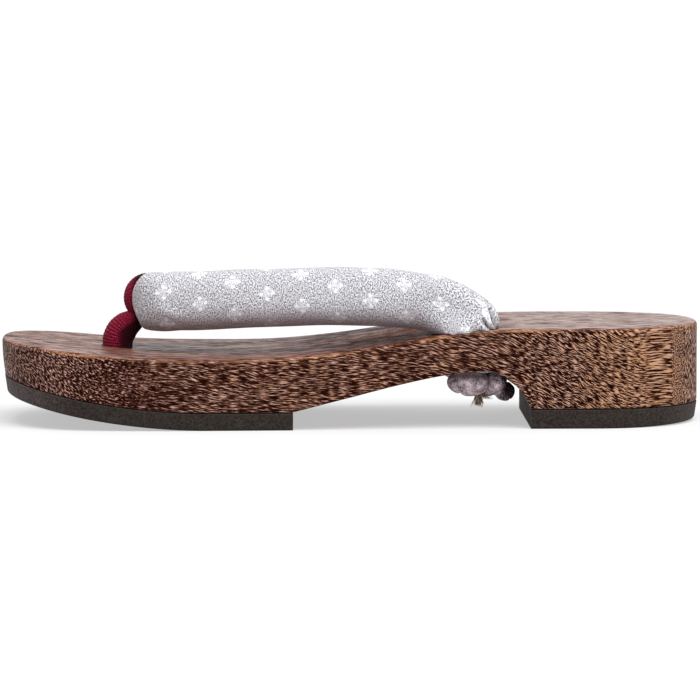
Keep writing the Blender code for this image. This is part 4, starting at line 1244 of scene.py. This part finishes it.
class GETA_OT_treads(bpy.types.Operator):
    """Make the two rubber treads."""
    bl_idname = "geta.treads"
    bl_label = "Rubber Treads"

    def execute(self, context):
        rubber = tread_rubber(context.scene.geta_colours)
        edge = context.scene.geta_sizes.tread_edge
        front = pad("geta_forefoot_tread", -LENGTH / 2, ARCH_START_X, edge, rubber, [-1])
        # the cutter reaches under the floor and far over the pad
        low = -LENGTH / 10
        wide = POCKET_WIDTH / 2
        hole = turned("pad_opening", [(0, low), (wide, low), (wide, LENGTH), (0, LENGTH)],
                      (FRONT_X, 0), rubber)
        combine(front, [hole], "DIFFERENCE")
        dress(front, "tread_rubber", "forefoot_rubber")
        back = pad("geta_heel_tread", ARCH_END_X, LENGTH / 2, edge, rubber, [0])
        dress(back, "tread_rubber", "heel_rubber")
        return {"FINISHED"}


class GETA_OT_strap(bpy.types.Operator):
    """Make the padded V of cloth."""
    bl_idname = "geta.strap"
    bl_label = "Padded Strap"

    def execute(self, context):
        sizes = context.scene.geta_sizes
        strap = padded_v(sizes, strap_cloth(context.scene.geta_colours, sizes.thread))
        dress(strap, "figured_cloth", "padded_strap")
        return {"FINISHED"}


class GETA_OT_toe_loop(bpy.types.Operator):
    """Make the knitted loop and its post."""
    bl_idname = "geta.toe_loop"
    bl_label = "Toe Loop"

    def execute(self, context):
        rib = context.scene.geta_sizes.rib
        knit = rib_knit(context.scene.geta_colours, rib)
        for make in (knit_loop, toe_post):
            dress(make(rib, knit), "dark_red_knit", "toe_loop")
        return {"FINISHED"}


class GETA_OT_knots(bpy.types.Operator):
    """Make the tail knots in the arch and the toe knot in its pocket."""
    bl_idname = "geta.knots"
    bl_label = "Knots"

    def execute(self, context):
        colours = context.scene.geta_colours
        cloth = plain_cloth("tail_cloth", colours.tail_dark, colours.tail_light, TAIL_THREAD_MM, TAIL_SHADE)
        for side, name in ((-1, "left_tail_knot"), (1, "right_tail_knot")):
            dress(tail_knot("geta_" + name, side, cloth), "tail_cloth", name)
        cord = plain_cloth("knot_cord", colours.cord_dark, colours.cord_light, CORD_THREAD_MM)
        dress(overhand_knot("geta_toe_knot", cord), "knot_cord", "toe_knot")
        return {"FINISHED"}


class GETA_OT_hemp(bpy.types.Operator):
    """Make the frayed hemp cord ends."""
    bl_idname = "geta.hemp"
    bl_label = "Hemp Ends"

    def execute(self, context):
        fibre = hemp_fibre(context.scene.geta_colours)
        for side, name in ((-1, "left_hemp_end"), (1, "right_hemp_end")):
            dress(frayed_end("geta_" + name, side, name, context.scene.geta_sizes, fibre), "hemp", name)
        return {"FINISHED"}


# Camera: how far it is turned and looks down, how far off it stands, what it aims at, and its lens in mm
CAMERA_YAW = math.radians(1.5)
CAMERA_DROP = math.radians(4.9)
CAMERA_FAR = 2.02
CAMERA_AIM = np.array([0, 0, 0.0239])
CAMERA_LENS = 300.3

# Studio: half the floor's width, how bright floor and room glow, and the softbox
FLOOR_HALF = 12.0
FLOOR_GLOW = 0.48
ROOM_GLOW = 0.6
ROOM_SLOPE = 0.35
SOFTBOX_POWER = 4.6
SOFTBOX_FROM = (0.15, -0.47, 0.83)
SOFTBOX_ANGLE = math.radians(55)


class GETA_OT_camera(bpy.types.Operator):
    """Place the camera at the photograph's angle."""
    bl_idname = "geta.camera"
    bl_label = "Camera"

    def execute(self, context):
        ahead = np.array([
            math.sin(CAMERA_YAW) * math.cos(CAMERA_DROP), math.cos(CAMERA_YAW) * math.cos(CAMERA_DROP),
            -math.sin(CAMERA_DROP)])
        eye = bpy.data.objects.new("camera", bpy.data.cameras.new("camera"))
        eye.data.lens = CAMERA_LENS
        eye.data.sensor_width = 36
        eye.data.clip_start = 0.05
        eye.data.clip_end = 50
        eye.location = CAMERA_AIM - ahead * CAMERA_FAR
        eye.rotation_euler = (math.pi / 2 - CAMERA_DROP, 0, -CAMERA_YAW)
        context.scene.collection.objects.link(eye)
        context.scene.camera = eye
        return {"FINISHED"}


class GETA_OT_stage(bpy.types.Operator):
    """Make the pale floor and the soft studio light."""
    bl_idname = "geta.stage"
    bl_label = "Studio"

    def execute(self, context):
        # opal acrylic of a light table: pale, matt and evenly lit from below, so that shadows stay faint
        thing, tree, shader = material("opal_acrylic")
        fill(tree, shader, Base_Color=context.scene.geta_colours.floor, Roughness=0.9, Specular_IOR_Level=0.0,
             Emission_Color=(1, 1, 1), Emission_Strength=FLOOR_GLOW)
        mesh = bpy.data.meshes.new("floor")
        corners = [(x * FLOOR_HALF, y * FLOOR_HALF, 0) for x, y in ((-1, -1), (1, -1), (1, 1), (-1, 1))]
        mesh.from_pydata(corners, [], [(0, 1, 2, 3)])
        mesh.materials.append(thing)
        floor = bpy.data.objects.new("floor", mesh)
        context.scene.collection.objects.link(floor)
        # an even pale room, a little brighter behind the sandal than in front of it
        world = bpy.data.worlds.new("studio")
        world.use_nodes = True
        room = world.node_tree
        way = add(room, "SeparateXYZ", add(room, "TexCoord", out="Generated")).node.outputs[1]
        glow = add(room, "Math.MULTIPLY_ADD", way, ROOM_SLOPE, ROOM_GLOW)
        fill(room, room.nodes["Background"], Color=(1, 1, 1), Strength=glow)
        context.scene.world = world
        lamp = bpy.data.lights.new("softbox", "SUN")
        lamp.angle = SOFTBOX_ANGLE
        lamp.energy = SOFTBOX_POWER
        light = bpy.data.objects.new("softbox", lamp)
        way = np.array(SOFTBOX_FROM) / np.linalg.norm(SOFTBOX_FROM)
        light.rotation_euler = (math.acos(way[2]), 0, math.atan2(way[1], way[0]) + math.pi / 2)
        context.scene.collection.objects.link(light)
        context.scene.view_settings.view_transform = "Standard"
        return {"FINISHED"}


class GETA_PT_panel(bpy.types.Panel):
    """Sizes and steps of the sandal, in the sidebar."""
    bl_idname = "GETA_PT_panel"
    bl_label = "Geta Sandal"
    bl_space_type = "VIEW_3D"
    bl_region_type = "UI"
    bl_category = "Geta"

    def draw(self, context):
        for group in (context.scene.geta_sizes, context.scene.geta_colours):
            for name in type(group).__annotations__:
                self.layout.prop(group, name)
        for step_class in STEPS:
            self.layout.operator(step_class.bl_idname)


STEPS = (
    GETA_OT_camera, GETA_OT_base, GETA_OT_treads, GETA_OT_strap, GETA_OT_toe_loop, GETA_OT_knots,
    GETA_OT_hemp, GETA_OT_stage,
)


def register():
    bpy.utils.register_class(GetaSizes)
    bpy.utils.register_class(GetaColours)
    for step_class in STEPS:
        bpy.utils.register_class(step_class)
    bpy.utils.register_class(GETA_PT_panel)
    bpy.types.Scene.geta_sizes = bpy.props.PointerProperty(type=GetaSizes)
    bpy.types.Scene.geta_colours = bpy.props.PointerProperty(type=GetaColours)


def unregister():
    del bpy.types.Scene.geta_colours
    del bpy.types.Scene.geta_sizes
    bpy.utils.unregister_class(GETA_PT_panel)
    for step_class in reversed(STEPS):
        bpy.utils.unregister_class(step_class)
    bpy.utils.unregister_class(GetaColours)
    bpy.utils.unregister_class(GetaSizes)


def main():
    """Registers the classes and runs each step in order."""
    register()
    bpy.ops.geta.camera()
    bpy.ops.geta.base()
    bpy.ops.geta.treads()
    bpy.ops.geta.strap()
    bpy.ops.geta.toe_loop()
    bpy.ops.geta.knots()
    bpy.ops.geta.hemp()
    bpy.ops.geta.stage()


if __name__ == "__main__":
    main()
